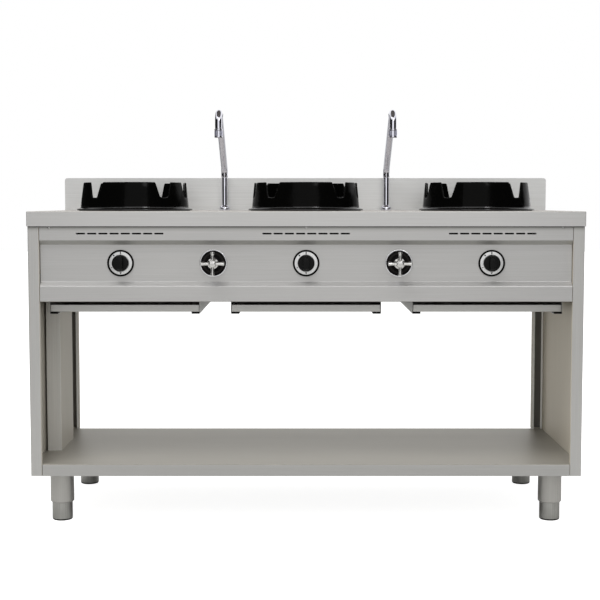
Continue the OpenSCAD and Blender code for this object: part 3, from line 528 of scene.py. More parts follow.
def is_wide(tree, loop, reach):
    """True where the face beside an edge goes on for at least the reach."""
    start, end = loop.vert.co, loop.link_loop_next.vert.co
    normal = loop.face.normal
    inward = normal.cross(end - start).normalized()
    probe = (start + end) / 2 + inward * reach
    spot, found, _, distance = tree.find_nearest(probe)
    return spot is not None and distance < 2e-5 and found.dot(normal) > 0.99


def looks_inward(face):
    middle = face.calc_center_median()
    return face.normal.x * middle.x < -0.5 * abs(middle.x)


def folded(node, name, finish, outer=2.0 * MM, inner=0.6 * MM, reach=3.4 * MM, others=()):
    """A copy of a sheet-metal node whose folds are rounded as a press brake leaves them.

    others are pairs: another finish, and a test that picks the faces that take it."""
    bm = bmesh.new()
    bm.from_mesh(cad[node].data)
    bmesh.ops.remove_doubles(bm, verts=bm.verts, dist=2e-6)
    bmesh.ops.dissolve_limit(bm, angle_limit=radians(1), verts=bm.verts, edges=bm.edges)
    bm.normal_update()
    tree = BVHTree.FromBMesh(bm)
    for radius, convex, segments in ((outer, True, 4), (inner, False, 2)):
        edges = []
        for edge in bm.edges:
            if len(edge.link_loops) != 2 or edge.is_convex != convex:
                continue
            if edge.calc_face_angle(0) > radians(30) and edge.calc_length() > 3 * MM \
                    and all(is_wide(tree, loop, reach) for loop in edge.link_loops):
                edges.append(edge)
        if edges:
            made = bmesh.ops.bevel(bm, geom=edges, offset=radius, offset_type="OFFSET",
                                   segments=segments, profile=0.5, affect="EDGES",
                                   clamp_overlap=True)
            for face in made["faces"]:
                face.smooth = True
    bmesh.ops.triangulate(bm, faces=[f for f in bm.faces if len(f.verts) > 4])
    smooth = [f.smooth for f in bm.faces]
    for slot, (_, picks) in enumerate(others, 1):
        for face in bm.faces:
            if picks(face):
                face.material_index = slot
    obj = into_object(name, bm, [finish] + [other for other, _ in others], smooth=0)
    for polygon, state in zip(obj.data.polygons, smooth):
        polygon.use_smooth = state
    return obj


def sheet_metal():
    """All folded sheets, with other finishes on the faces that the tests pick."""
    def up(face):
        return face.normal.z > 0.25

    def front(face):
        return face.normal.y < -0.9

    def back(face):
        return face.normal.y > 0.9

    def right(face):
        return face.normal.x > 0.9

    def under_slope(face):
        return face.normal.z < -0.4 and face.normal.y < -0.4

    posts_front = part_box("rear_posts")[0].y + 1 * MM
    vent_drop = 19.5 * MM
    vents_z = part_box("worktop")[0].z - vent_drop

    def back_or_vent(face):
        """The panel's rear and the cut edges of the vent slots, which take the near-black painted shade.
        """
        cut = abs(face.normal.y) < 0.1 and face.calc_area() < 60 * MM ** 2
        return back(face) or (cut and abs(face.calc_center_median().z - vents_z) < 4 * MM)

    # the posts' channel faces take the dark painted shade, their front lip the bright painted highlight
    def channel(face):
        return front(face) and face.calc_center_median().y > posts_front

    def lip(face):
        return front(face) and face.calc_center_median().y < posts_front

    steel = "stainless_sheet"
    # painted light and shade in this table: near-black painted shade on hidden inner faces and slot
    # edges; darker copies as painted shade on the worktop's top, the panel's downward slope, the shelf's
    # top, the post channels, the left panel's inner face and the duct's right faces; lighter copies as
    # painted light on the upstand, the right panel's inner face and the post lips
    for node, slot, finish, others in (
            ("worktop", "worktop_steel", "worktop", [("worktop_top_shade", up)]),
            ("rear_upstand", "worktop_steel", "upstand", []),
            ("left_side_panel", steel, "sheet_z", [("inside", looks_inward)]),
            ("right_side_panel", steel, "sheet_z", [("inside_lit", looks_inward)]),
            ("control_panel", steel, "panel", [("inner_shade", back_or_vent), ("panel_slope_shade", under_slope)]),
            ("rear_panel", steel, "sheet_x", [("inner_shade", front)]),
            ("bottom_shelf", "shelf_steel", "sheet_x", [("shelf", up)]),
            ("rear_posts", steel, "inside", [("channel", channel), ("post_lip", lip)]),
            ("service_duct", steel, "duct", [("inside", right)]),
            ("cross_rails", steel, "sheet_x", []),
            ("tray_runners", steel, "tray", [])):
        dress(folded(node, node + "_folded", finish, others=others), MAIN, slot, node)
    for side in SIDES:
        node = side + "_drip_tray"
        dress(folded(node, node + "_folded", "tray", outer=1.6 * MM, inner=0.8 * MM),
              side + "_tray_body", "tray_steel", node)


def post_feet():
    """The small plates that close the rear posts at the shelf."""
    low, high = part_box("rear_posts")
    inside_w, side_gap = 32.4 * MM, 0.8 * MM
    bm = bmesh.new()
    for start, end in ((low.x, low.x + inside_w), (high.x - inside_w, high.x)):
        slab(bm, (start + side_gap, low.y + 1.4 * MM, low.z + 0.2 * MM),
             (end - side_gap, high.y - 1.2 * MM, low.z + 1.7 * MM))
    dress(into_object("rear_post_foot_plates", bm, ["inside"], smooth=0), MAIN, "stainless_sheet")


def apron_shadow_line():
    """A dark bead that closes the gap between the apron and the cabinet's front; it stands for the shadow
    line under the apron, as painted shade.
    """
    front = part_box("control_panel")[0].y
    left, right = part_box("left_side_panel")[0].x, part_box("right_side_panel")[1].x
    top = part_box("worktop")[0].z
    outline = eased([(0, 1.4), (-1.9, 1.4), (-1.9, -1.8), (0, -1.8)], [0, 0.5, 0.9, 0], 4, closed=True)
    bm = bmesh.new()
    ends = [[bm.verts.new((x, front + a, top + b)) for a, b in in_mm(outline)]
            for x in (left + 1 * MM, right - 1 * MM)]
    skin(bm, *ends)
    bm.faces.new(ends[0])
    bm.faces.new(ends[1])
    closed_piece("apron_seal_bead", bm, "rubber", MAIN, "black_plastic")


# ---- wok rings, sizes in millimetres
RIM_R = 150.0           # the mean radius on which the notches are laid out
RING_TOP = 80.0
NOTCH_HALF = 31.0
PLACES = 9              # eight notches and the solid place at the front
FRONT = -90             # the angle at which the solid place's middle lies, in degrees
WALL_FOOT = 8           # where the outer face begins to lean in
LEAN = 7.0              # how far the wall leans in from foot to rim
FILLET_TOP = 10.6
ROUND_H = 3             # the height that the rim's rounding takes
BOWL_DEEP = 108


def notch_outline():
    """One notch of the ring's rim: offset along the rim and height, from left to right."""
    right = [(0, 36.0), (9.0, 36.2), (13.4, 38.6), (15.2, 44.0), (25.2, 76.4),
             (27.6, RING_TOP), (NOTCH_HALF, RING_TOP)]
    line = [(-x, z) for x, z in reversed(right[1:])] + right
    for _ in range(2):
        softer = [line[0]]
        for (x0, z0), (x1, z1) in zip(line, line[1:]):
            softer += [(0.75 * x0 + 0.25 * x1, 0.75 * z0 + 0.25 * z1),
                       (0.25 * x0 + 0.75 * x1, 0.25 * z0 + 0.75 * z1)]
        line = softer + [line[-1]]
    return line


def rim_turn(offset):
    """The angle in degrees that belongs to a way along the rim."""
    return offset / RIM_R * 180 / pi


def rim_outline():
    """The whole rim as (angle, height) points, anticlockwise from the front."""
    rim = []
    for i in range(PLACES):
        centre = FRONT + 360 * i / PLACES
        if i:
            rim += [(centre + rim_turn(x), z) for x, z in notch_outline()]
        last = i == PLACES - 1
        start = centre + rim_turn(NOTCH_HALF) if i else centre - 10
        end = FRONT + 340 - 0.001 if last else centre + 360 / PLACES - rim_turn(NOTCH_HALF)
        rim += [(start + (end - start) * k / 7, RING_TOP) for k in range(1, 7)]
    return sorted(set((round(a, 4), round(z, 4)) for a, z in rim), key=lambda p: p[0])


def outer_r(h):
    return 157.0 - LEAN * (h - WALL_FOOT) / (RING_TOP - WALL_FOOT)


def inner_r(h):
    return 152.0 - LEAN * h / RING_TOP


def rim_section(angle, z, normal):
    """The ring's section at one angle as (angle, radius, height), rounded over at its height z."""
    flange = ((inner_r(0), 0.0), (166.9, 0.0), (167.5, 0.6), (167.5, 3.2), (166.8, 4.0),
              (160.4, 5.2), (158.2, 6.1), (157.2, 7.8), (156.7, FILLET_TOP))
    section = [(angle, r, h) for r, h in flange]
    for k in range(1, 6):
        h = FILLET_TOP + (z - ROUND_H - FILLET_TOP) * k / 6
        section.append((angle, outer_r(h), h))
    rounding = ((1.8, 0.0), (0.95, 0.25), (0.3, 0.9), (0.0, 1.8))
    for wall, sign, steps in ((outer_r, -1, rounding), (inner_r, 1, rounding[::-1])):
        for inset, radial in steps:
            shift = -normal * inset
            h = z + shift.y
            section.append((angle + rim_turn(shift.x), wall(h) + sign * radial, h))
    for k in range(5, 0, -1):
        h = (z - ROUND_H) * k / 6
        section.append((angle, inner_r(h), h))
    return section


def wok_ring(side):
    """A cast ring: flange, leaning wall and eight notches, with every edge rounded."""
    low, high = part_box(side + "_wok_ring")
    middle = (low + high) / 2
    rim = rim_outline()
    count = len(rim)
    bm = bmesh.new()
    columns = []
    for i, (angle, z) in enumerate(rim):
        a0, z0 = rim[i - 1]
        a1, z1 = rim[(i + 1) % count]
        along = Vector((((a1 - a0 + 180) % 360 - 180) * pi / 180 * RIM_R, z1 - z0)).normalized()
        columns.append([bm.verts.new((middle.x + r * cos(radians(at)) * MM,
                                      middle.y + r * sin(radians(at)) * MM, low.z + h * MM))
                        for at, r, h in rim_section(angle, z, Vector((-along.y, along.x)))])
    for i in range(count):
        one, two = columns[i], columns[(i + 1) % count]
        for k in range(len(one)):
            n = (k + 1) % len(one)
            face = bm.faces.new((one[k], two[k], two[n], one[n]))
            # the fillet faces take the shinier enamel: a painted highlight line
            face.material_index = int(2 <= k <= 7)
    outward(bm)
    ring = into_object(side + "_wok_ring_cast", bm, ["enamel", "enamel_highlight"], smooth=50)
    dress(ring, side + "_ring_body", "black_iron", side + "_wok_ring")


def burner_bowl(side, r=148.25, wall=1.5):
    """A spun bowl with a flat brim; its inner side takes the flame's tints, its outer the near-black
    painted shade of the cabinet's inside.
    """
    low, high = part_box(side + "_burner_bowl")
    middle = (low + high) / 2
    profile = [(50, -BOWL_DEEP), (0.8 * r, -0.85 * BOWL_DEEP), (r, -0.55 * BOWL_DEEP), (r, 0), (161, 0),
               (161, wall), (r - wall, wall), (r - wall, -0.55 * BOWL_DEEP + wall),
               (0.8 * r - wall, -0.85 * BOWL_DEEP + wall), (50, wall - BOWL_DEEP)]
    line = eased(profile, [0, 30, 30, 0.4, 0.4, 0.4, 3, 30, 30, 0], 6, closed=True)
    bm = bmesh.new()
    place = upright(middle.x, middle.y, high.z - wall * MM)
    turned(bm, in_mm(line), place, 128, closed=True)
    outward(bm)
    bm.normal_update()
    for face in bm.faces:
        out = (face.calc_center_median() - place.translation).xy
        face.material_index = int(face.normal.xy.dot(out) > 0.2 * out.length or face.normal.z < -0.2)
    bowl = into_object(side + "_burner_bowl_spun", bm, ["bowl", "inner_shade"], smooth=40)
    dress(bowl, MAIN, "bowl_steel", side + "_burner_bowl")


# ---- knobs and dials
def knob(side, half=8.25, end_cut=0.9):
    """A round skirt and the grip bar across it, whose ends are cut a little narrower."""
    node = side + "_knob"
    low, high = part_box(node)
    x, z = middle_of(node, "xz")
    r = (high.z - low.z) / 2 / MM
    deep = (high.y - low.y) / MM
    bm = bmesh.new()
    place = facing_front(x, high.y, z)
    skirt = eased([(4.4, 0), (r, 0), (r, 0.7), (0.95 * r, 8.0), (0, 8.0)], [0, 0, 1.0, 2.2, 0], 4)
    turned(bm, in_mm([(0, 0)] + skirt), place, 96)
    loops = []
    layers = ((7.0, 0.955, 1.0), (8.5, 0.945, 1.0), (15.0, 0.80, 0.99),
              (deep - 1.6, 0.655, 0.965), (deep - 0.5, 0.61, 0.93), (deep, 0.56, 0.86))
    for height, reach, girth in layers:
        ring = []
        for sign in (1, -1):
            for t in (-1 + k / 4 for k in range(9)):
                cut = end_cut if abs(t) == 1 else 0
                ring.append((sign * half * girth - sign * cut, sign * t * (r * reach)))
        loops.append([bm.verts.new(place @ Vector((a, b, height * MM))) for a, b in in_mm(ring)])
    for lower, upper in zip(loops, loops[1:]):
        skin(bm, lower, upper)
    bm.faces.new(loops[-1])
    bm.faces.new(loops[0][::-1])
    bmesh.ops.recalc_face_normals(bm, faces=bm.faces)
    dress(into_object(node + "_moulded", bm, ["knob"]), node + "_body", "black_knob", node)


def dials():
    """Black discs with a raised rim, a silver ring set in and the marks on it."""
    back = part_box("dial_rings")[1].y
    z, = middle_of("dial_rings", "z")
    face, mark_h = back - 1.45 * MM, 0.35
    black, silver, grey, dark = (bmesh.new() for _ in range(4))
    rim = eased([(8, 0), (36, 0), (36, 3.0), (31.8, 3.0), (31.2, 0.9), (8, 0.9)],
                [0, 0.3, 1.1, 0.7, 0.3, 0], 4, closed=True)
    band = eased([(9, 0.85), (31.0, 0.85), (31.0, 1.5), (9, 1.5)], [0, 0, 0.3, 0], 3, closed=True)
    for side in SIDES:
        x, = middle_of(side + "_knob", "x")
        place = facing_front(x, back, z)
        turned(black, in_mm(rim), place, 96, closed=True)
        turned(silver, in_mm(band), place, 96, closed=True)
        prism(grey, [(-1.5, 23.6), (1.5, 23.6), (1.5, 30.8), (-1.5, 30.8)], x, z, face, mark_h)
        prism(grey, dot(27.0, 207, 1.6, 12), x, z, face, mark_h)
        prism(dark, dot(27.6, 131, 2.1, 20), x, z, face, mark_h)
        prism(dark, [(-3.0, -24.9), (0, -29.9), (3.0, -24.9)], x, z, face, mark_h)
    home = (MAIN, "dial_black")
    closed_piece("dial_discs_black", black, "dial_black", *home, "dial_rings")
    closed_piece("dial_rings_silver", silver, "dial_silver", *home)
    closed_piece("dial_marks_grey", grey, "mark_grey", *home)
    closed_piece("dial_marks_black", dark, "mark_black", *home)


def dot(reach, angle, r, count):
    """A round mark at a distance and an angle from the dial's middle."""
    x, z = reach * cos(radians(angle)), reach * sin(radians(angle))
    return [(x + r * cos(2 * pi * i / count), z + r * sin(2 * pi * i / count)) for i in range(count)]


def prism(bm, outline, x, z, back, depth):
    """A thin raised mark on a dial: an (x, z) outline in millimetres, standing on its back."""
    rear, front = ([bm.verts.new((x + a, y, z + b)) for a, b in in_mm(outline)]
                   for y in (back, back - depth * MM))
    bm.faces.new(rear)
    bm.faces.new(front)
    skin(bm, rear, front)


# ---- water taps
def tap_disc():
    """Black discs behind the cross handles: a bright rim, the plate and a grey band on it."""
    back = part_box("tap_discs")[1].y
    z, = middle_of("tap_discs", "z")
    rim, disc, band = bmesh.new(), bmesh.new(), bmesh.new()
    edge = eased([(33.8, 0), (36.8, 0), (36.8, 3.0), (34.0, 3.0), (33.8, 1.4)],
                 [0, 0.2, 1.2, 0.9, 0], 4, closed=True)
    plate = [(11, 0), (33.9, 0), (33.9, 1.6), (29.4, 1.9), (11, 2.0)]
    ring = eased([(23.4, 1.8), (28.6, 1.8), (28.4, 2.6), (23.6, 2.6)], [0, 0, 0.5, 0.5], 3, closed=True)
    for side in PAIR:
        x, = middle_of(side + "_cross_handle", "x")
        for bm, line in ((rim, edge), (disc, plate), (band, ring)):
            turned(bm, in_mm(line), facing_front(x, back, z), 96, closed=True)
    home = (MAIN, "black_plastic")
    closed_piece("tap_disc_rims", rim, "satin_chrome", *home)
    closed_piece("tap_disc_plates", disc, "dial_black", *home, "tap_discs")
    closed_piece("tap_disc_bands", band, "dial_band", *home)


def cross_handle(side):
    """A flared hub with four spokes that swell towards their ends."""
    node = side + "_cross_handle"
    low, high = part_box(node)
    x, z = middle_of(node, "xz")
    reach = (high.z - low.z) / 2 / MM
    deep = (high.y - low.y) / MM
    bm = bmesh.new()
    hub = eased([(0, 0), (14.6, 0), (15.2, 1.0), (14.8, 3.4), (10.6, 6.4), (10, 8.4), (10, deep - 3.4),
                 (8.6, deep - 1.5), (7.4, deep - 1.3), (6.6, deep - 0.4), (0, deep)],
                [0, 0.5, 0.6, 1.4, 1.2, 1.2, 1.2, 0.5, 0.5, 2, 0], 4)
    turned(bm, in_mm(hub), facing_front(x, high.y, z), 64)
    spoke = eased([(0, 5), (4.4, 5), (4.1, 13), (4.4, 22), (5.3, reach - 3.4), (5.1, reach - 0.9),
                   (3.4, reach), (0, reach)], [0, 0, 4, 4, 2, 1.2, 1.0, 0], 4)
    spoke_depth = 11.5 * MM
    spokes = upright(x, low.y + spoke_depth, z)
    for turn in range(4):
        turned(bm, in_mm(spoke), spokes @ Matrix.Rotation(turn * pi / 2, 4, "Y"), 40)
    bmesh.ops.recalc_face_normals(bm, faces=bm.faces)
    dress(into_object(node + "_chromed", bm, ["soft_chrome"]),
          side + "_handle_body", "tap_chrome", node)


# ---- spouts
def arc(centre, r, start, end, steps):
    """Points on an arc in the (y, z) plane."""
    return [(centre[0] + r * cos(radians(start + (end - start) * k / steps)),
             centre[1] + r * sin(radians(start + (end - start) * k / steps))) for k in range(steps + 1)]


def swept(bm, line, x, steps=48):
    """A closed tube along (y, z, radius) points in the plane of one x."""
    rings = []
    for i, (y, z, r) in enumerate(line):
        before, after = line[max(i - 1, 0)], line[min(i + 1, len(line) - 1)]
        along = Vector((0, after[0] - before[0], after[1] - before[1])).normalized()
        side = Vector((1, 0, 0))
        up = along.cross(side)
        rings.append([bm.verts.new(Vector((x, y, z)) + (side * cos(a) + up * sin(a)) * r)
                      for a in (2 * pi * k / steps for k in range(steps))])
    for lower, upper in zip(rings, rings[1:]):
        skin(bm, lower, upper)
    bm.faces.new(rings[0][::-1])
    bm.faces.new(rings[-1])


def spout(side):
    """The swivel spout: socket, rising tube, hook and the short drop to the aerator."""
    node = side + "_spout"
    low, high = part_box(node)
    x, = middle_of(node, "x")
    r, bend = 10.0 * MM, 28 * MM
    foot_y, mouth_y = 275 * MM, -15 * MM
    socket_h = 8 * MM
    low_bend_z = low.z + socket_h
    high_bend = (mouth_y + bend, high.z - r - bend)
    angle = atan2(high_bend[1] - low_bend_z, foot_y - bend - high_bend[0]) * 180 / pi
    bm = bmesh.new()
    line = [(foot_y, low.z, r * 0.96), (foot_y, low.z + 0.5 * MM, r), (foot_y, low_bend_z, r)]
    line += [(y, z, r) for y, z in arc((foot_y - bend, low_bend_z), bend, 0, 90 - angle, 14)[1:]]
    start = Vector(line[-1][:2])
    hook = arc(high_bend, bend, 90 - angle, 180, 32)
    end = Vector(hook[0])
    reach = (end - start).length
    for share in (0.25, 0.5, 0.75):
        spot = start.lerp(end, share)
        line.append((spot.x, spot.y, r))
    for back, radius in ((5.2, r), (5.0, 1.06 * r), (4.4, 1.1 * r), (0.4, 1.1 * r), (0, 1.06 * r)):
        spot = start.lerp(end, 1 - back * MM / reach)
        line.append((spot.x, spot.y, radius))
    hair = 1e-5
    line += [(hook[0][0] - hair, hook[0][1] + hair, r)] + [(y, z, r) for y, z in hook[1:]]
    line.append((mouth_y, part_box(side + "_aerator")[1].z, r))
    swept(bm, line, x)
    bmesh.ops.recalc_face_normals(bm, faces=bm.faces)
    obj = into_object(node + "_tube", bm, ["chrome"], smooth=40)
    dress(obj, side + "_spout_body", "tap_chrome", node)


def risers():
    """The tubes on which the spouts turn, and their domed base nuts."""
    low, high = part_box("spout_risers")
    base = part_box("spout_base_nuts")[0].z
    r, bore = 8.3 * MM, 6.6 * MM
    tube, nuts = bmesh.new(), bmesh.new()
    nut = eased([(8.5, 0), (16, 0), (16, 2.2), (15.2, 3.0), (15.2, 4.0), (15.8, 4.8), (15.0, 9.6),
                 (11.4, 14.4), (8.5, 16)], [0, 0.3, 0.4, 0.4, 0.4, 0.6, 3, 2, 0], 5, closed=True)
    y, = middle_of("spout_risers", "y")
    for side in PAIR:
        x, = middle_of(side + "_spout", "x")
        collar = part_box(side + "_spout")[0].z
        pipe = [(0, low.z), (r, low.z), (r, low.z + 1 * MM), (r, collar - 1 * MM),
                (r, collar - 0.5 * MM), (8.1 * MM, collar - 0.2 * MM),
                (bore, collar - 0.2 * MM), (bore, high.z), (0, high.z)]
        turned(tube, pipe, upright(x, y), 64)
        turned(nuts, in_mm(nut), upright(x, y, base), 72, closed=True)
    closed_piece("spout_risers_tube", tube, "chrome", MAIN, "tap_chrome", "spout_risers")
    closed_piece("spout_base_nuts_domed", nuts, "chrome", MAIN, "tap_chrome", "spout_base_nuts")


# ---- patterns by geometry nodes
def node_tree(name, inputs):
    tree = bpy.data.node_groups.new(name, "GeometryNodeTree")
    tree.interface.new_socket("Geometry", in_out="INPUT", socket_type="NodeSocketGeometry")
    for label, kind in inputs:
        tree.interface.new_socket(label, in_out="INPUT", socket_type="NodeSocket" + kind)
    tree.interface.new_socket("Geometry", in_out="OUTPUT", socket_type="NodeSocketGeometry")
    return tree, tree.nodes.new("NodeGroupInput"), tree.nodes.new("NodeGroupOutput")


def grown(obj, tree, values):
    """Runs a tree on an object and leaves the plain mesh that it makes."""
    modifier = obj.modifiers.new("grow", "NODES")
    modifier.node_group = tree
    for item in tree.interface.items_tree:
        if item.in_out == "INPUT" and item.name in values:
            modifier[item.identifier] = values[item.name]
    seen = obj.evaluated_get(bpy.context.evaluated_depsgraph_get())
    mesh = bpy.data.meshes.new_from_object(seen)
    obj.modifiers.remove(modifier)
    old = obj.data
    obj.data = mesh
    bpy.data.meshes.remove(old)
    mesh.shade_smooth()
    mesh.set_sharp_from_angle(angle=radians(35))


def knurl_tree():
    """Ribs round an upright cap: count, radius, and the width, depth and height of a rib."""
    tree, given, result = node_tree("knurl", [
        ("Count", "Int"), ("Radius", "Float"), ("Rib", "Vector"), ("Place", "Vector"),
        ("Finish", "Material")])
    new = tree.nodes.new
    circle, rib = new("GeometryNodeMeshCircle"), new("GeometryNodeMeshCube")
    stand, position = new("GeometryNodeInstanceOnPoints"), new("GeometryNodeInputPosition")
    angle = new("FunctionNodeAlignRotationToVector")
    move, join = new("GeometryNodeTransform"), new("GeometryNodeJoinGeometry")
    real, paint = new("GeometryNodeRealizeInstances"), new("GeometryNodeSetMaterial")
    angle.axis = "X"
    wired(tree, (given, "Count", circle, "Vertices"), (given, "Radius", circle, "Radius"),
          (given, "Rib", rib, "Size"), (circle, "Mesh", stand, "Points"),
          (rib, "Mesh", stand, "Instance"), (position, 0, angle, "Vector"),
          (angle, 0, stand, "Rotation"), (stand, 0, move, "Geometry"),
          (given, "Place", move, "Translation"), (given, "Geometry", join, 0), (move, 0, join, 0),
          (join, 0, real, 0), (real, 0, paint, "Geometry"), (given, "Finish", paint, "Material"),
          (paint, 0, result, 0))
    return tree


def aerators():
    """The knurled caps at the spouts' mouths."""
    tree = knurl_tree()
    for side in PAIR:
        node = side + "_aerator"
        low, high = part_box(node)
        x, y = middle_of(node, "xy")
        r = (high.x - low.x) / 2 / MM
        deep = (high.z - low.z) / MM
        waist = r - 0.7
        line = eased([(r - 3, 0), (r - 0.6, 0), (r, 1.2), (r, 4.4), (waist, 5.0), (waist, deep - 4.6),
                      (r, deep - 4.0), (r, deep - 1), (r - 1, deep), (0, deep), (0, deep - 4),
                      (r - 3, deep - 4)],
                     [0, 0.5, 0.4, 0.2, 0.2, 0.2, 0.2, 0.4, 0.4, 0, 0, 0], 3, closed=True)
        bm = bmesh.new()
        turned(bm, in_mm(line), upright(x, y, low.z), 64, closed=True)
        outward(bm)
        cap = into_object(node + "_knurled", bm, ["chrome"], smooth=35)
        grown(cap, tree, {"Count": 36, "Radius": (r - 0.55) * MM,
                          "Rib": (0.9 * MM, 1.0 * MM, (deep - 11.5) * MM),
                          "Place": (x, y, low.z + deep * MM / 2), "Finish": FINISH["chrome"]})
        dress(cap, side + "_spout_body", "tap_chrome", node)


def screw_head(r=3.5, h=1.3, arm=2.0, half=0.42, depth=0.8):
    """A pan head with a cross recess, standing on its underside, and its shank."""
    bm = bmesh.new()
    turned(bm, in_mm([(0, -8), (1.6, -8), (2, -7.4), (2, 0), (r, 0), (r, 0.45 * h),
                      (0.93 * r, 0.75 * h), (0.75 * r, h)]), Matrix.Identity(4), 24)
    rim = sorted([v for v in bm.verts if abs(v.co.z - h * MM) < 1e-7],
                 key=lambda v: atan2(v.co.y, v.co.x))
    cross = []
    for k in range(4):
        turn = Matrix.Rotation(k * pi / 2, 4, "Z")
        for x, y in ((arm, -half), (arm, half), (half, half)):
            cross.append(turn @ Vector((x * MM, y * MM, h * MM)))
    edge = [bm.verts.new(p) for p in cross]
    taper = 0.82
    floor = [bm.verts.new(Vector((p.x * taper, p.y * taper, p.z - depth * MM))) for p in cross]
    loops = []
    for ring in (rim, edge):
        for i, v in enumerate(ring):
            n = ring[(i + 1) % len(ring)]
            loops.append(bm.edges.get((v, n)) or bm.edges.new((v, n)))
    bmesh.ops.triangle_fill(bm, edges=loops, use_beauty=True)
    skin(bm, edge, floor)
    bm.faces.new(floor)
    bmesh.ops.recalc_face_normals(bm, faces=bm.faces)
    return into_object("screw_master", bm, ["screw"], smooth=35)


def screw_tree():
    """One screw on every point, pointing along the point's aim."""
    tree, given, result = node_tree("screws", [
        ("Screw", "Object"), ("Finish", "Material"), ("Seed", "Int")])
    new = tree.nodes.new
    item, stand = new("GeometryNodeObjectInfo"), new("GeometryNodeInstanceOnPoints")
    aim, angle = new("GeometryNodeInputNamedAttribute"), new("FunctionNodeAlignRotationToVector")
    spin = new("FunctionNodeRandomValue")
    rotate, about = new("GeometryNodeRotateInstances"), new("ShaderNodeCombineXYZ")
    real, paint = new("GeometryNodeRealizeInstances"), new("GeometryNodeSetMaterial")
    aim.data_type = "FLOAT_VECTOR"
    aim.inputs["Name"].default_value = "aim"
    angle.axis = "Z"
    spin.data_type = "FLOAT"
    spin.inputs[2].default_value = 0.0
    spin.inputs[3].default_value = pi / 2
    wired(tree, (given, "Screw", item, "Object"), (given, "Seed", spin, "Seed"),
          (given, "Geometry", stand, "Points"), (item, "Geometry", stand, "Instance"),
          (aim, 0, angle, "Vector"), (angle, 0, stand, "Rotation"), (stand, 0, rotate, "Instances"),
          (spin, 1, about, "Z"), (about, 0, rotate, "Rotation"), (rotate, 0, real, 0),
          (real, 0, paint, "Geometry"), (given, "Finish", paint, "Material"), (paint, 0, result, 0))
    return tree


def screws():
    """Cross-recessed screws where the frame has them."""
    panel_low, panel_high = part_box("control_panel")
    apron_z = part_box("worktop")[0].z
    shelf_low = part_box("bottom_shelf")[0]
    rear_low, rear_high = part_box("rear_panel")
    sheet, under_apron, behind_lip, from_edge = 1.5 * MM, 3.8 * MM, 7.5 * MM, 17.5 * MM
    side_x = panel_high.x + sheet
    apron_x, shelf_x = side_x - 28 * MM, side_x - 10.5 * MM
    rear_x = cad_box[1].x - 2.5 * MM - 8.5 * MM
    spots = [((s * apron_x, panel_low.y, apron_z - under_apron), (0, -1, 0)) for s in (-1, 0, 1)]
    spots += [((s * shelf_x, shelf_low.y + behind_lip, shelf_low.z), (0, 0, -1)) for s in (-1, 1)]
    heights = (rear_low.z + from_edge, apron_z - from_edge)
    spots += [((s * rear_x, rear_high.y, z), (0, 1, 0)) for s in (-1, 1) for z in heights]
    mesh = bpy.data.meshes.new("screws_crosshead")
    mesh.from_pydata([p for p, _ in spots], [], [])
    aim = mesh.attributes.new("aim", "FLOAT_VECTOR", "POINT")
    for i, (_, direction) in enumerate(spots):
        aim.data[i].vector = direction
    obj = placed("screws_crosshead", mesh)
    master = screw_head()
    grown(obj, screw_tree(), {"Screw": master, "Finish": FINISH["screw"], "Seed": 5})
    bpy.data.objects.remove(master)
    dress(obj, MAIN, "screw_steel", "screws")


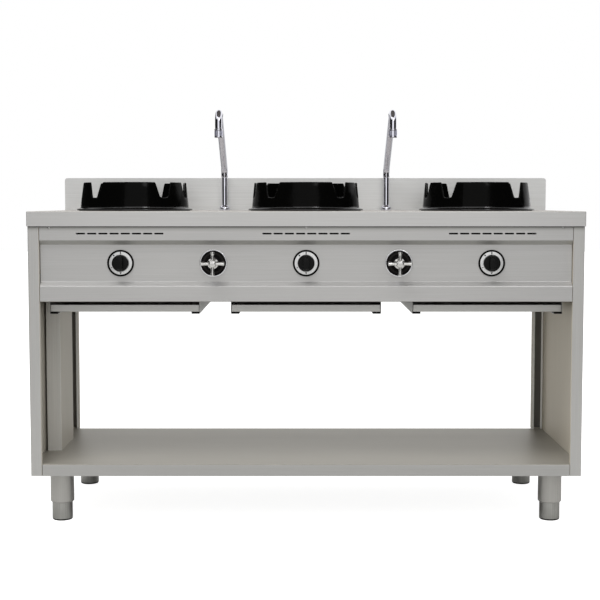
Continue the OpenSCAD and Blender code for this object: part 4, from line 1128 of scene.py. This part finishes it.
# ---- legs
def legs():
    """Four sleeves with a square plate on top, and in each a foot insert on a black rim."""
    low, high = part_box("leg_sleeves")
    bore, outer, plate_h = 27.75, 32, 3 * MM
    base, top = low.z / MM, high.z - plate_h
    sleeve = eased([(bore, base), (29.4, base), (outer, base + 2.6), (outer, top / MM), (bore, top / MM)],
                   [0, 0.8, 1.6, 0, 0], 4, closed=True)
    pad = eased([(0, 0), (25, 0), (27.4, 2.6), (27.4, 4.6), (0, 4.6)], [0, 1.6, 1.0, 0.4, 0], 4)
    tubes = bmesh.new()
    for end in ("front", "rear"):
        for side in PAIR:
            node = f"{end}_{side}_foot"
            x, y = middle_of(node, "xy")
            turned(tubes, in_mm(sleeve), upright(x, y), 96, closed=True)
            slab(tubes, (x - outer * MM, y - outer * MM, top), (x + outer * MM, y + outer * MM, high.z))
            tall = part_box(node)[1].z / MM
            body = eased([(0, 4.2), (27.2, 4.2), (27.7, 5.0), (27.7, 108), (23.2, 108), (23.2, 12),
                          (9.2, 12), (9.2, tall), (0, tall)], [0, 0.3, 0.4, 0.6, 0.6, 1, 1, 0.6, 0], 3)
            for name, line, key, *nodes in ((node + "_insert", body, "foot", node),
                                            (node + "_rim", pad, "rubber")):
                bm = bmesh.new()
                turned(bm, in_mm(line), upright(x, y), 96)
                closed_piece(name, bm, key, node + "_body", "foot_steel", *nodes)
    bmesh.ops.recalc_face_normals(tubes, faces=tubes.faces)
    dress(into_object("leg_sleeves_turned", tubes, ["leg"]), MAIN, "leg_steel", "leg_sleeves")


# ---- pieces that keep their frame shape
def keep_shapes():
    """Gives the frame's own meshes their finishes."""
    kept = {"runner_glides": "glide", "burner_brackets": "pipe", "gas_injectors": "brass",
            "gas_manifold": "pipe", "water_pipes": "copper"}
    for side in SIDES:
        kept.update({side + "_burner": "iron", side + "_gas_valve": "brass",
                     side + "_valve_plug": "brass", side + "_spindle": "spindle"})
    for side in PAIR:
        kept.update({side + "_tap_valve": "chrome", side + "_tap_spindle": "brass"})
    for node, key in kept.items():
        mesh = cad[node].data
        mesh.materials.clear()
        mesh.materials.append(FINISH[key])


# ---- the whole
scene.view_settings.view_transform = "Standard"
set_up_camera()
set_up_world(0.8)
set_up_floor()
softbox("key_softbox", (-1.3, -2.2, 4.7), (0, 0, 0.6), (3.0, 2.2), 75)
softbox("fill_softbox", (-1.3, -2.2, 4.7), (0, 0, 0.6), (3.0, 2.2), 75, mirrored=False)
softbox("top_softbox", (0.6, -0.2, 4.7), (0, 0, 0.8), (4.0, 3.0), 60, mirrored=False)
softbox("strip_softbox", (1.5, -3.4, 2.9), (0, 0, 0.85), (0.5, 1.6), 14)
dark_walls()

keep_shapes()
sheet_metal()
apron_shadow_line()
post_feet()
for place_name in SIDES:
    wok_ring(place_name)
    burner_bowl(place_name)
    knob(place_name)
for place_name in PAIR:
    cross_handle(place_name)
    spout(place_name)
dials()
tap_disc()
risers()
aerators()
screws()
legs()
